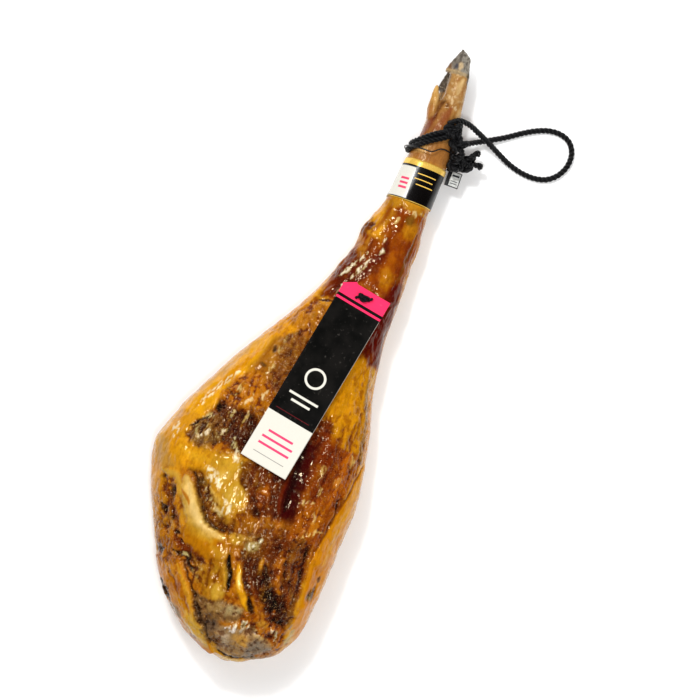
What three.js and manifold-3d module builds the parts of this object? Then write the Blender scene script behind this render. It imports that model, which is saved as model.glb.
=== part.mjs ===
// A whole bone-in cured ham, lying on its fat side with the cut face up and its foot towards +Y.
// Its shank carries a printed band, a strap seal and a hanging rope, and a card lies on its cut face.
// Millimetres, +Z up. A place is given as across (X), along (Y, from the butt end to the hoof tip)
// and height (Z, above the table). The last group centres the ham over the origin.
import * as THREE from "three";
import { ConvexGeometry } from "three/addons/geometries/ConvexGeometry.js";
import { mergeVertices } from "three/addons/utils/BufferGeometryUtils.js";
import Module from "manifold-3d";

const wasm = await Module();
wasm.setup();

// ---------------------------------------------------------------- driving dimensions

const hamLength = 824;
const touchGap = 0.4;

const ringSpacing = 10;
const ringSides = 40;

const ropeDiameter = 7;
const ropeSides = 10;

const bandStart = 614;
const bandLength = 55;
const bandThickness = 0.8;

const cardWidth = 63;
const cardLength = 256;
const cardThickness = 0.8;
const cardHoleRadius = 3;
const cardHoleInset = 12;

const strapDiameter = 1.8;
const sealWidth = 18;
const sealLength = 20;
const sealThickness = 2.4;
const sealLabelThickness = 0.5;

// Cross-sections of the leg. left and right are the edges seen from above, top and base the
// heights of the cut face and of the fat back. A base below zero is pressed flat on the table.
const stations = [
  { along: 0, left: -26, right: -16, top: 61, base: 52 },
  { along: 4, left: -44, right: -3, top: 74, base: 38 },
  { along: 12, left: -64, right: 11, top: 86, base: 24 },
  { along: 24, left: -85, right: 34, top: 97, base: 12 },
  { along: 44, left: -109, right: 50, top: 107, base: 2 },
  { along: 80, left: -137, right: 62, top: 116, base: -5 },
  { along: 125, left: -159, right: 65, top: 120, base: -8 },
  { along: 185, left: -185, right: 68, top: 120, base: -8 },
  { along: 225, left: -195, right: 70, top: 118, base: -7 },
  { along: 265, left: -184, right: 66, top: 113, base: -5 },
  { along: 325, left: -157, right: 55, top: 102, base: -1 },
  { along: 385, left: -122, right: 40, top: 91, base: 4 },
  { along: 445, left: -85, right: 33, top: 82, base: 8 },
  { along: 505, left: -57, right: 34, top: 75, base: 10 },
  { along: 545, left: -44, right: 33, top: 71, base: 11 },
  { along: 563, left: -43, right: 33, top: 69, base: 11 },
  { along: 605, left: -28, right: 30, top: 64, base: 12 },
  { along: 640, left: -23, right: 31, top: 61, base: 12 },
  { along: 669, left: -20, right: 32, top: 59, base: 12 },
  { along: 705, left: -14, right: 30, top: 57, base: 10 },
  { along: 733, left: -12, right: 28, top: 54, base: 8 },
  { along: 745, left: -5, right: 27, top: 52, base: 9 },
  { along: 753, left: -1, right: 24, top: 49, base: 12 },
  { along: 758, left: 3, right: 18, top: 42, base: 19 },
];
const shankEnd = stations[stations.length - 1].along;

// The free loop of the rope: out of the knot over the shank's shoulder, down to the table, round,
// and back up under itself into the knot.
const ropeLoopRoute = [
  [15, 724, 59],
  [26, 733, 52.5],
  [40, 735, 40],
  [55, 731, 29],
  [70, 725.5, 21],
  [88, 718, 12],
  [105, 711, 6],
  [124, 706, 3.8],
  [143, 705, 3.8],
  [158, 709, 3.8],
  [170, 719, 3.8],
  [177.5, 735, 3.8],
  [177, 752, 3.8],
  [169, 764.5, 3.8],
  [155.5, 770, 3.8],
  [139, 769, 3.8],
  [123.5, 763, 3.8],
  [108, 754, 3.8],
  [92, 743, 4.2],
  [75, 732.5, 7],
  [59, 722.5, 14],
  [47, 714.5, 23],
  [38, 708, 31],
];

// ---------------------------------------------------------------- helpers

const vector = (across, along, height) => new THREE.Vector3(across, along, height);

// A closed surface through rings with the same number of points. The first ring comes first along
// the body, and each ring runs anticlockwise when the body's far end points at the viewer.
function loft(rings) {
  const sides = rings[0].length;
  const positions = rings.flat();
  const faces = [];
  for (let ring = 0; ring < rings.length - 1; ring++) {
    for (let side = 0; side < sides; side++) {
      const next = (side + 1) % sides;
      const here = ring * sides;
      const there = here + sides;
      faces.push(here + side, here + next, there + next);
      faces.push(here + side, there + next, there + side);
    }
  }
  const lastRing = (rings.length - 1) * sides;
  const startPole = positions.push(middleOf(rings[0])) - 1;
  const endPole = positions.push(middleOf(rings[rings.length - 1])) - 1;
  for (let side = 0; side < sides; side++) {
    const next = (side + 1) % sides;
    faces.push(startPole, next, side);
    faces.push(endPole, lastRing + side, lastRing + next);
  }
  return surface(positions, faces);
}

// A closed ring-shaped surface: profiles are closed outlines, one after another round the ring.
function sleeve(profiles) {
  const corners = profiles[0].length;
  const faces = [];
  for (let turn = 0; turn < profiles.length; turn++) {
    for (let corner = 0; corner < corners; corner++) {
      const here = turn * corners;
      const there = ((turn + 1) % profiles.length) * corners;
      const next = (corner + 1) % corners;
      faces.push(here + corner, there + corner, there + next);
      faces.push(here + corner, there + next, here + next);
    }
  }
  return surface(profiles.flat(), faces);
}

function surface(positions, faces) {
  const geometry = new THREE.BufferGeometry().setFromPoints(positions);
  geometry.setIndex(faces);
  geometry.computeVertexNormals();
  return geometry;
}

function middleOf(points) {
  const middle = vector(0, 0, 0);
  points.forEach((point) => middle.add(point));
  return middle.divideScalar(points.length);
}

function tube(route, diameter, steps, sides) {
  const section = new THREE.Shape();
  for (let side = 0; side < sides; side++) {
    const angle = (side / sides) * 2 * Math.PI;
    const x = (diameter / 2) * Math.cos(angle);
    const y = (diameter / 2) * Math.sin(angle);
    if (side === 0) section.moveTo(x, y);
    else section.lineTo(x, y);
  }
  section.closePath();
  return new THREE.ExtrudeGeometry(section, {
    steps,
    curveSegments: 1,
    bevelEnabled: false,
    extrudePath: route,
  });
}

function ball(middle, radii) {
  return new THREE.SphereGeometry(1, 24, 16).scale(...radii).translate(...middle);
}

function toSolid(geometry) {
  const bare = geometry.clone();
  bare.deleteAttribute("normal");
  bare.deleteAttribute("uv");
  const merged = mergeVertices(bare, 1e-4);
  const mesh = new wasm.Mesh({
    numProp: 3,
    vertProperties: merged.attributes.position.array,
    triVerts: new Uint32Array(merged.index.array),
  });
  return new wasm.Manifold(mesh);
}

function fromSolid(solid) {
  const mesh = solid.getMesh();
  const geometry = new THREE.BufferGeometry();
  geometry.setAttribute("position", new THREE.BufferAttribute(mesh.vertProperties, 3));
  geometry.setIndex(new THREE.BufferAttribute(mesh.triVerts, 1));
  geometry.computeVertexNormals();
  return geometry;
}

const joined = (geometries) => geometries.map(toSolid).reduce((all, one) => all.add(one));
const without = (solid, geometries) =>
  geometries.map(toSolid).reduce((rest, one) => rest.subtract(one), solid);

function named(name, geometry, color, roughness, metalness = 0) {
  const material = new THREE.MeshStandardMaterial({ color, roughness, metalness });
  const mesh = new THREE.Mesh(geometry, material);
  mesh.name = name;
  return mesh;
}

// ---------------------------------------------------------------- the leg's cross-sections

// Slope of a station value at station i, kept flat at turning points so that nothing overshoots.
function slopeAt(key, i) {
  if (i === 0 || i === stations.length - 1) return 0;
  const before = stations[i].along - stations[i - 1].along;
  const after = stations[i + 1].along - stations[i].along;
  const riseBefore = (stations[i][key] - stations[i - 1][key]) / before;
  const riseAfter = (stations[i + 1][key] - stations[i][key]) / after;
  if (riseBefore * riseAfter <= 0) return 0;
  return (before + after) / (before / riseAfter + after / riseBefore);
}

function stationValue(key, along) {
  const last = stations.length - 2;
  const found = stations.findIndex((station) => station.along > along) - 1;
  const i = found < 0 ? last : Math.min(found, last);
  const span = stations[i + 1].along - stations[i].along;
  const t = (along - stations[i].along) / span;
  const start = stations[i][key];
  const end = stations[i + 1][key];
  const blend = t * t * (3 - 2 * t);
  const startPull = t * (1 - t) * (1 - t) * span * slopeAt(key, i);
  const endPull = t * t * (t - 1) * span * slopeAt(key, i + 1);
  return start + (end - start) * blend + startPull + endPull;
}

// The point of the skin at an angle round the leg: 0 is the right side, 90 degrees the cut face.
// lift moves it outwards.
function skinPoint(along, angle, lift = 0) {
  const left = stationValue("left", along) - lift;
  const right = stationValue("right", along) + lift;
  const top = stationValue("top", along) + lift;
  const base = stationValue("base", along) - lift;
  const waistShare = THREE.MathUtils.lerp(0.42, 0.5, THREE.MathUtils.smoothstep(along, 300, 600));
  const waist = THREE.MathUtils.lerp(base, top, waistShare);
  const rounding = 2 / 2.25;
  const c = Math.cos(angle);
  const s = Math.sin(angle);
  const across = (left + right) / 2 + ((right - left) / 2) * Math.sign(c) * Math.abs(c) ** rounding;
  const reach = s > 0 ? top - waist : waist - base;
  return vector(across, along, waist + reach * Math.sign(s) * Math.abs(s) ** rounding);
}

const angleOf = (step, steps) => -(step / steps) * 2 * Math.PI;

function legRing(along) {
  const ring = [];
  for (let side = 0; side < ringSides; side++) {
    const point = skinPoint(along, angleOf(side, ringSides));
    point.z = Math.max(point.z, 0);
    ring.push(point);
  }
  return ring;
}

// ---------------------------------------------------------------- the ham: leg, toes, hooves, dewclaws

// Rings close together round the blunt butt end and evenly spaced from there to the shank's end.
function legGeometry() {
  const roundedEnd = 50;
  const endRings = 11;
  const rings = [];
  for (let i = 0; i < endRings; i++) rings.push(legRing(roundedEnd * (i / endRings) ** 2));
  for (let along = roundedEnd; along < shankEnd - ringSpacing; along += ringSpacing) {
    rings.push(legRing(along));
  }
  [shankEnd - 6, shankEnd - 3, shankEnd].forEach((along) => rings.push(legRing(along)));
  return loft(rings);
}

// A tapering round body through rings given as [across, along, height, half width, half height].
function ovalBody(rings, sides = 20) {
  return loft(
    rings.map(([across, along, height, halfWidth, halfHeight]) => {
      const ring = [];
      for (let side = 0; side < sides; side++) {
        const angle = angleOf(side, sides);
        const x = across + halfWidth * Math.cos(angle);
        const z = height + halfHeight * Math.sin(angle);
        ring.push(vector(x, along, z));
      }
      return ring;
    }),
  );
}

const hull = (points) => new ConvexGeometry(points.map((point) => vector(...point)));

function upperToe() {
  return ovalBody([
    [6, 726, 38, 14, 9],
    [10, 742, 41, 16, 12],
    [11, 760, 42.5, 13.5, 11.5],
    [9, 776, 43, 13, 11],
    [7.5, 790, 43, 12.5, 10],
    [5, 800, 42, 9, 7],
  ]);
}

function lowerToe() {
  return ovalBody([
    [6, 726, 24, 14, 9],
    [6, 742, 20, 15, 11],
    [5, 758, 18, 14.5, 10.5],
    [5, 772, 17.5, 14.5, 10],
    [5, 786, 17, 11, 8],
  ]);
}

function upperHoof() {
  return hull([
    [0, hamLength, 40],
    [-7, 806, 45],
    [-12, 790, 46],
    [-12, 789, 35],
    [4, 790, 31.5],
    [5, 790, 57],
    [3, 807, 51],
    [20, 788, 50],
    [20.5, 788, 36],
    [13.5, 815, 44],
    [13, 815, 38],
  ]);
}

function lowerHoof() {
  return hull([
    [3, 813, 17],
    [-13, 770, 26],
    [-13, 768, 12],
    [5, 766, 6.5],
    [4, 768, 29],
    [22, 780, 25],
    [21.5, 776, 11],
    [16, 800, 20],
    [-8, 796, 20],
  ]);
}

// A small horn beside the foot; shortBy tells how much shorter the hidden one is.
function dewclaw(height, shortBy) {
  return ovalBody(
    [
      [-3, 716, height - 3, 8, 7],
      [-7, 732, height, 8, 7],
      [-11, 748 - shortBy, height + 1, 6, 5.5],
      [-13, 758 - shortBy, height + 1, 4.5, 4.5],
      [-14.5, 766 - shortBy, height, 2.6, 3],
      [-15, 769 - shortBy, height, 0.8, 1],
    ],
    14,
  );
}

function hamGeometry() {
  const foot = [upperToe(), lowerToe(), upperHoof(), lowerHoof(), dewclaw(44, 0), dewclaw(20, 8)];
  return fromSolid(joined([legGeometry(), ...foot]));
}

// ---------------------------------------------------------------- the band round the shank

function bandGeometry() {
  const bands = 5;
  const turns = 48;
  const innerLift = touchGap + 0.2;
  const outerLift = innerLift + bandThickness;
  const profiles = [];
  for (let turn = 0; turn < turns; turn++) {
    const angle = angleOf(turn, turns);
    const outer = [];
    const inner = [];
    for (let i = 0; i <= bands; i++) {
      const along = bandStart + (i / bands) * bandLength;
      outer.push(skinPoint(along, angle, outerLift));
      inner.unshift(skinPoint(along, angle, innerLift));
    }
    profiles.push([...outer, ...inner]);
  }
  return sleeve(profiles);
}

// ---------------------------------------------------------------- the card and its tie

// The card's middle line lies on the crown of the cut face, foot end near the thigh.
const cardFoot = vector(-55.5, 242, 118.6);
const cardHead = vector(-8, 490.5, 79);

// Turns a group so that its +Y runs from the card's foot to its head and its +Z faces up.
function layOnCard(group) {
  const lengthways = cardHead.clone().sub(cardFoot).normalize();
  const widthways = vector(lengthways.y, -lengthways.x, 0).normalize();
  const upwards = widthways.clone().cross(lengthways);
  group.setRotationFromMatrix(new THREE.Matrix4().makeBasis(widthways, lengthways, upwards));
  group.position.copy(cardFoot);
  return group;
}

function cardGeometry() {
  const half = cardWidth / 2;
  const clippedWidth = 11;
  const clippedLength = 7;
  const outline = new THREE.Shape();
  outline.moveTo(-half, 0);
  outline.lineTo(half, 0);
  outline.lineTo(half, cardLength);
  outline.lineTo(-half + clippedWidth, cardLength);
  outline.lineTo(-half, cardLength - clippedLength);
  outline.closePath();
  const hole = new THREE.Path();
  hole.absarc(0, cardLength - cardHoleInset, cardHoleRadius, 0, 2 * Math.PI, true);
  outline.holes.push(hole);
  return new THREE.ExtrudeGeometry(outline, {
    depth: cardThickness,
    curveSegments: 10,
    bevelEnabled: false,
  });
}

// A knotted cord end: the knot lies on the card and its neck goes down through the hole.
function tieGeometry() {
  const knotHeight = 6;
  const neckLength = 4.2;
  const neckRadius = cardHoleRadius - 0.6;
  const seat = cardThickness + touchGap;
  const knot = ball([0, 0, seat + knotHeight / 2], [9, 5.5, knotHeight / 2]);
  const neck = new THREE.CylinderGeometry(neckRadius, neckRadius, neckLength, 16)
    .rotateX(Math.PI / 2)
    .translate(0, 0, seat + 1.6 - neckLength / 2);
  return fromSolid(joined([knot, neck]));
}

// ---------------------------------------------------------------- the rope

const ropeLoopCurve = new THREE.CatmullRomCurve3(ropeLoopRoute.map((place) => vector(...place)));

// One turn of the collar, from the knot over the cut face, round and back under the shank. It
// lies askew, lowest on the leg's left; shift moves it down the shank.
function collarCurve(shift) {
  const overKnot = THREE.MathUtils.degToRad(58);
  const underKnot = THREE.MathUtils.degToRad(322);
  const lift = ropeDiameter / 2 + touchGap;
  const points = [];
  for (let step = 0; step <= 24; step++) {
    const angle = THREE.MathUtils.lerp(overKnot, underKnot, step / 24);
    const along = 709 + 20 * Math.cos(angle) - shift;
    points.push(skinPoint(along, angle, lift));
  }
  return new THREE.CatmullRomCurve3(points);
}

const collarPitch = ropeDiameter + 2.6;
const collarCurves = [collarCurve(0), collarCurve(collarPitch)];

const tailRoutes = [
  [
    [56, 698, 31],
    [60, 703, 29.5],
    [64, 707.5, 27],
  ],
  [
    [60, 690, 30],
    [66, 691.5, 28.5],
    [73, 692, 26],
  ],
];

const tubeSteps = (curve, spacing) => Math.ceil(curve.getLength() / spacing);
const ropeTube = (curve, extra = 0) =>
  tube(curve, ropeDiameter + extra, tubeSteps(curve, 2 * ropeDiameter), ropeSides);
const collarTube = (curve, extra = 0) => tube(curve, ropeDiameter + extra, 30, ropeSides);
const tailCurves = tailRoutes.map(
  (route) => new THREE.CatmullRomCurve3(route.map((place) => vector(...place))),
);
const tailTube = (curve, extra = 0) => tube(curve, ropeDiameter + extra, 4, ropeSides);

// ---------------------------------------------------------------- the strap seal

const sealCorner = vector(36, 655, 23);

// The strap leaves the seal, goes up under the rope knot and round the shank, standing off it on
// the left where it rides over the rope, and comes back to the seal.
function strapCurve() {
  const points = [vector(sealCorner.x + 3, sealCorner.y + sealLength + 1, sealCorner.z + 1.2)];
  points.push(vector(37.5, 680, 27));
  for (let degrees = 0; degrees <= 330; degrees += 15) {
    const angle = THREE.MathUtils.degToRad(degrees);
    const onLeft = THREE.MathUtils.smoothstep(-Math.cos(angle), -0.4, 0.05);
    const lift = strapDiameter / 2 + touchGap + onLeft * (ropeDiameter + 1.2);
    points.push(skinPoint(692 - 10 * onLeft, angle, lift));
  }
  points.push(vector(38, 682, 20));
  points.push(vector(sealCorner.x + 9, sealCorner.y + sealLength + 1, sealCorner.z + 1.2));
  return new THREE.CatmullRomCurve3(points);
}

const sealStrapCurve = strapCurve();
const strapTube = (extra = 0) =>
  tube(sealStrapCurve, strapDiameter + extra, tubeSteps(sealStrapCurve, 3.4), 8);

function sealGeometry() {
  return new THREE.BoxGeometry(sealWidth, sealLength, sealThickness).translate(
    sealCorner.x + sealWidth / 2,
    sealCorner.y + sealLength / 2,
    sealCorner.z + sealThickness / 2,
  );
}

function sealLabelGeometry() {
  const strapSide = 5;
  const rim = 1;
  const width = sealWidth - strapSide - rim;
  return new THREE.BoxGeometry(width, sealLength - 2 * rim, sealLabelThickness).translate(
    sealCorner.x + strapSide + width / 2,
    sealCorner.y + sealLength / 2,
    sealCorner.z + sealThickness + touchGap + sealLabelThickness / 2,
  );
}

// ---------------------------------------------------------------- the rope's knots

// The shank at the knot, grown a little, to keep the knots clear of it.
function shankClearance() {
  const rings = [];
  for (let along = 640; along <= 750; along += 10) {
    const ring = [];
    for (let side = 0; side < ringSides; side++) {
      ring.push(skinPoint(along, angleOf(side, ringSides), touchGap + 0.1));
    }
    rings.push(ring);
  }
  return loft(rings);
}

function knotSolids() {
  const around = 2 * touchGap;
  const ropes = [
    ropeTube(ropeLoopCurve, around),
    ...collarCurves.map((curve) => collarTube(curve, around)),
    strapTube(around),
  ];
  const knotBody = joined([
    ball([26, 717, 49], [13, 16, 11]),
    ball([37, 697, 43], [12, 18, 12]),
    ball([39, 679, 39], [10, 12, 11]),
  ]);
  const knot = without(knotBody, [shankClearance(), ...ropes]);
  const tails = tailCurves.map((curve) => tailTube(curve, around));
  const stopper = without(toSolid(ball([52, 690, 32], [12, 12.5, 12])), tails);
  const bodies = knot.decompose().sort((a, b) => b.volume() - a.volume());
  return { knot: bodies[0], stopper: stopper.subtract(toSolid(fattened(bodies[0]))) };
}

// The knot's shape grown about its middle, to leave the gap to the stopper knot beside it.
function fattened(solid) {
  const geometry = fromSolid(solid);
  geometry.computeBoundingBox();
  const middle = geometry.boundingBox.getCenter(vector(0, 0, 0));
  geometry.translate(-middle.x, -middle.y, -middle.z);
  geometry.scale(1.04, 1.03, 1.04);
  return geometry.translate(middle.x, middle.y, middle.z);
}

// ---------------------------------------------------------------- assembly

const ropeBlack = 0x141416;
const plasticBlack = 0x101012;

const card = layOnCard(new THREE.Group());
const tie = named("tag_tie", tieGeometry(), ropeBlack, 0.8);
tie.position.set(0, cardLength - cardHoleInset, 0);
card.add(named("hang_tag", cardGeometry(), 0x1a1512, 0.45), tie);

const seal = new THREE.Group();
seal.add(named("seal_strap", strapTube(), plasticBlack, 0.4));
seal.add(named("seal_tab", sealGeometry(), plasticBlack, 0.4));
seal.add(named("seal_label", sealLabelGeometry(), 0xb9bab4, 0.35, 0.6));

const knots = knotSolids();
const rope = new THREE.Group();
rope.add(named("rope_loop", ropeTube(ropeLoopCurve), ropeBlack, 0.75));
collarCurves.forEach((curve, i) => {
  rope.add(named(`rope_collar_turn_${i + 1}`, collarTube(curve), ropeBlack, 0.75));
});
rope.add(named("rope_knot", fromSolid(knots.knot), ropeBlack, 0.75));
rope.add(named("rope_stopper_knot", fromSolid(knots.stopper), ropeBlack, 0.75));
tailCurves.forEach((curve, i) => {
  rope.add(named(`rope_tail_${i + 1}`, tailTube(curve), ropeBlack, 0.75));
});

const cured = new THREE.Group();
cured.add(named("ham", hamGeometry(), 0xb06a20, 0.4));
cured.add(named("shank_band", bandGeometry(), 0x15120f, 0.35));
cured.add(card, seal, rope);

// The ham's widest station sets where its middle is.
const widest = stations.reduce((a, b) => (b.right - b.left > a.right - a.left ? b : a));
cured.position.set(-(widest.left + widest.right) / 2, -hamLength / 2, 0);

const group = new THREE.Group();
group.add(cured);

export default group;
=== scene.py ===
"""A whole cured ham lying cut face up: the looks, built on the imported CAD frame. Metres, +Z up."""

import math
import random
from itertools import product

import bmesh
import bpy
import numpy as np
from mathutils import Matrix, Vector


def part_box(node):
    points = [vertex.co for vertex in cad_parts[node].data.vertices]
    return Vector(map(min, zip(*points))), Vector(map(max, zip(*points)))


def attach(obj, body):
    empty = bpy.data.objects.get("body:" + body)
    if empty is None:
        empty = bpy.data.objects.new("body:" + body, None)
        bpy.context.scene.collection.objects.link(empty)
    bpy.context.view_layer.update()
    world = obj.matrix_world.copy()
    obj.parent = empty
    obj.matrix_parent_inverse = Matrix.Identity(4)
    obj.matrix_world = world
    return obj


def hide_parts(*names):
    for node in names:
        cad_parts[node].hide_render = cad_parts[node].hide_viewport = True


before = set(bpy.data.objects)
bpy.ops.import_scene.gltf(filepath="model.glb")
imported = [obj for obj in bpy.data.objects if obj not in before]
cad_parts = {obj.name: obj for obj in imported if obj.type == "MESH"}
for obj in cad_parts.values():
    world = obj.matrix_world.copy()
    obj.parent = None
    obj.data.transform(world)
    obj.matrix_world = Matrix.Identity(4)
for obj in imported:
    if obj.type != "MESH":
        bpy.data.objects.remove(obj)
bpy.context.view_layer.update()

MM = 0.001

# The CAD part is laid out from the butt end: "along" runs to the hoof tip, "across" is measured
# from the line through the hoof tip and "height" from the table, all in millimetres.
ORIGIN = np.array([62.5 * MM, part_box("ham")[0].y, 0.0])


def to_frame(points):
    return np.asarray(points, float) * MM + ORIGIN


def place(across, along, height):
    return Vector(to_frame((across, along, height)))


def srgb(red, green, blue):
    """A colour given as it looks on a screen, 0 to 255, as linear light."""
    c = np.array([red, green, blue], float) / 255
    return np.where(c <= 0.04045, c / 12.92, ((c + 0.055) / 1.055) ** 2.4)


def colour(red, green, blue):
    return (*srgb(red, green, blue), 1.0)


def smoothstep(low, high, value):
    t = np.clip((value - low) / (high - low), 0, 1)
    return t * t * (3 - 2 * t)


def unit(vector):
    return vector / np.linalg.norm(vector)


def lengths_to(points):
    """The length of a line up to each of its points."""
    steps = np.linalg.norm(np.diff(points, axis=0), axis=1)
    return np.concatenate([[0], np.cumsum(steps)])


# ------------------------------------------------------------------ camera, light, floor

# The camera looks down on the cut face, a little from the butt, with the foot leaning right.
CAMERA_DISTANCE = 2.5
CAMERA_LEAN = math.radians(3)
CAMERA_TARGET = (-4.5, 415, 50)
FOOT_LEANS_RIGHT = math.radians(19.9)
VIEW_WIDTH = 0.876

FLOOR_HALF = 6
WORLD_STRENGTH = 0.34
# Name, place, size, watts, and whether reflections show it.
LIGHTS = [
    ("key", (-1.0, 1.1, 1.9), (1.7, 1.7), 34, False),
    ("fill", (1.5, -0.5, 1.9), (1.7, 1.7), 24, False),
    ("left_glints", (-0.7, 0.8, 2.0), (0.24, 0.24), 19, True),
    ("top_glints", (0.25, -0.35, 2.3), (0.16, 0.30), 13, True),
]


def make_camera():
    data = bpy.data.cameras.new("camera")
    data.sensor_width = 36
    data.lens = data.sensor_width * CAMERA_DISTANCE / VIEW_WIDTH
    camera = bpy.data.objects.new("camera", data)
    bpy.context.scene.collection.objects.link(camera)
    target = place(*CAMERA_TARGET)
    backward = Vector((0, -math.sin(CAMERA_LEAN), math.cos(CAMERA_LEAN)))
    up = Vector((-math.sin(FOOT_LEANS_RIGHT), math.cos(FOOT_LEANS_RIGHT), 0))
    right = up.cross(backward).normalized()
    up = backward.cross(right)
    turn = Matrix((right, up, backward)).transposed().to_4x4()
    camera.matrix_world = Matrix.Translation(target + backward * CAMERA_DISTANCE) @ turn
    bpy.context.scene.camera = camera


def make_light(name, where, size, power, glints):
    """An area light, aimed at the frame's origin. Only one with glints shows in reflections."""
    data = bpy.data.lights.new(name, "AREA")
    data.shape = "RECTANGLE"
    data.size, data.size_y = size
    data.energy = power
    light = bpy.data.objects.new(name, data)
    light.location = where
    light.rotation_euler = (-Vector(where)).to_track_quat("-Z", "Y").to_euler()
    light.visible_glossy = glints
    bpy.context.scene.collection.objects.link(light)


def make_stage():
    """A plain pale floor, an even white surround and the lights."""
    mesh = bpy.data.meshes.new("floor")
    corners = [(-1, -1, 0), (1, -1, 0), (1, 1, 0), (-1, 1, 0)]
    mesh.from_pydata([FLOOR_HALF * Vector(corner) for corner in corners], [], [(0, 1, 2, 3)])
    floor = bpy.data.objects.new("floor", mesh)
    bpy.context.scene.collection.objects.link(floor)
    m = Nodes("floor")
    m.set(Base_Color=(0.93, 0.93, 0.93, 1), Roughness=0.9, Specular_IOR_Level=0.1)
    mesh.materials.append(m.material)
    world = bpy.data.worlds.new("studio")
    bpy.context.scene.world = world
    world.use_nodes = True
    background = world.node_tree.nodes["Background"]
    background.inputs["Color"].default_value = (1, 1, 1, 1)
    background.inputs["Strength"].default_value = WORLD_STRENGTH
    world.cycles_visibility.glossy = False
    for light in LIGHTS:
        make_light(*light)
    bpy.context.scene.view_settings.view_transform = "Standard"


# ------------------------------------------------------------------ meshes and materials


def new_piece(name, vertices, faces, replaces=()):
    mesh = bpy.data.meshes.new(name)
    mesh.from_pydata(np.asarray(vertices, float).tolist(), [], faces)
    mesh.polygons.foreach_set("use_smooth", [True] * len(mesh.polygons))
    mesh.update()
    return declare(bpy.data.objects.new(name, mesh), replaces)


def declare(piece, replaces=()):
    bpy.context.scene.collection.objects.link(piece)
    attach(piece, "root")
    if replaces:
        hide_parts(*replaces)
    return piece


def add_attribute(mesh, name, values):
    """Stores one number or one vector per vertex, for the material to read."""
    values = np.ascontiguousarray(values, np.float32)
    kind, field = ("FLOAT", "value") if values.ndim == 1 else ("FLOAT_VECTOR", "vector")
    mesh.attributes.new(name, kind, "POINT").data.foreach_set(field, values.ravel())


def vertex_array(mesh, field="co"):
    out = np.empty(len(mesh.vertices) * 3)
    mesh.vertices.foreach_get(field, out)
    return out.reshape(-1, 3)


class Nodes:
    """A short way to write a material's node tree."""

    def __init__(self, name):
        self.material = bpy.data.materials.new(name)
        self.material.use_nodes = True
        self.tree = self.material.node_tree
        self.shader = self.tree.nodes["Principled BSDF"]

    def add(self, kind, **settings):
        node = self.tree.nodes.new(kind)
        for key, value in settings.items():
            setattr(node, key, value)
        return node

    def put(self, target, value):
        if isinstance(value, bpy.types.NodeSocket):
            self.tree.links.new(value, target)
        else:
            target.default_value = value

    def set(self, **values):
        """Shader inputs by name, with _ for a space."""
        for key, value in values.items():
            self.put(self.shader.inputs[key.replace("_", " ")], value)

    def attribute(self, name, output="Fac"):
        return self.add("ShaderNodeAttribute", attribute_name=name).outputs[output]

    def part(self, vector, axis):
        node = self.add("ShaderNodeSeparateXYZ")
        self.put(node.inputs[0], vector)
        return node.outputs[axis]

    def position(self, scale=(1, 1, 1), turn=0.0):
        """The point's own place in metres, stretched and turned for a texture."""
        mapping = self.add("ShaderNodeMapping")
        self.put(mapping.inputs["Vector"], self.add("ShaderNodeTexCoord").outputs["Object"])
        mapping.inputs["Scale"].default_value = scale
        mapping.inputs["Rotation"].default_value = (0, 0, turn)
        return mapping.outputs["Vector"]

    def noise(self, vector, scale, detail=4.0, roughness=0.55):
        node = self.add("ShaderNodeTexNoise")
        self.put(node.inputs["Vector"], vector)
        node.inputs["Scale"].default_value = scale
        node.inputs["Detail"].default_value = detail
        node.inputs["Roughness"].default_value = roughness
        return node.outputs["Fac"]

    def math(self, operation, a, b=0.0):
        node = self.add("ShaderNodeMath", operation=operation)
        self.put(node.inputs[0], a)
        self.put(node.inputs[1], b)
        return node.outputs[0]

    def ramp(self, value, low, high, to_low=0.0, to_high=1.0):
        node = self.add("ShaderNodeMapRange", interpolation_type="SMOOTHSTEP")
        self.put(node.inputs["Value"], value)
        self.put(node.inputs["From Min"], low)
        self.put(node.inputs["From Max"], high)
        self.put(node.inputs["To Min"], to_low)
        self.put(node.inputs["To Max"], to_high)
        return node.outputs["Result"]

    def within(self, value, low, high, edge):
        """1 between low and high, 0 outside."""
        up = self.ramp(value, low - edge, low + edge)
        down = self.ramp(value, high - edge, high + edge, 1.0, 0.0)
        return self.math("MULTIPLY", up, down)

    def mix(self, factor, a, b, blend="MIX"):
        node = self.add("ShaderNodeMix", data_type="RGBA", blend_type=blend)
        self.put(node.inputs[0], factor)
        self.put(node.inputs[6], a)
        self.put(node.inputs[7], b)
        return node.outputs[2]

    def bump(self, height, distance, strength=1.0, under=None):
        node = self.add("ShaderNodeBump")
        self.put(node.inputs["Height"], height)
        self.put(node.inputs["Strength"], strength)
        node.inputs["Distance"].default_value = distance
        if under is not None:
            self.put(node.inputs["Normal"], under)
        return node.outputs["Normal"]


# ------------------------------------------------------------------ the leg's cross-sections

# As in the CAD part: along, left edge, right edge, height of the cut face, height of the fat back.
STATIONS = [
    (0, -26, -16, 61, 52),
    (4, -44, -3, 74, 38),
    (12, -64, 11, 86, 24),
    (24, -85, 34, 97, 12),
    (44, -109, 50, 107, 2),
    (80, -137, 62, 116, -5),
    (125, -159, 65, 120, -8),
    (185, -185, 68, 120, -8),
    (225, -195, 70, 118, -7),
    (265, -184, 66, 113, -5),
    (325, -157, 55, 102, -1),
    (385, -122, 40, 91, 4),
    (445, -85, 33, 82, 8),
    (505, -57, 34, 75, 10),
    (545, -44, 33, 71, 11),
    (563, -43, 33, 69, 11),
    (605, -28, 30, 64, 12),
    (640, -23, 31, 61, 12),
    (669, -20, 32, 59, 12),
    (705, -14, 30, 57, 10),
    (733, -12, 28, 54, 8),
    (745, -5, 27, 52, 9),
    (753, -1, 24, 49, 12),
    (758, 3, 18, 42, 19),
]


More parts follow.
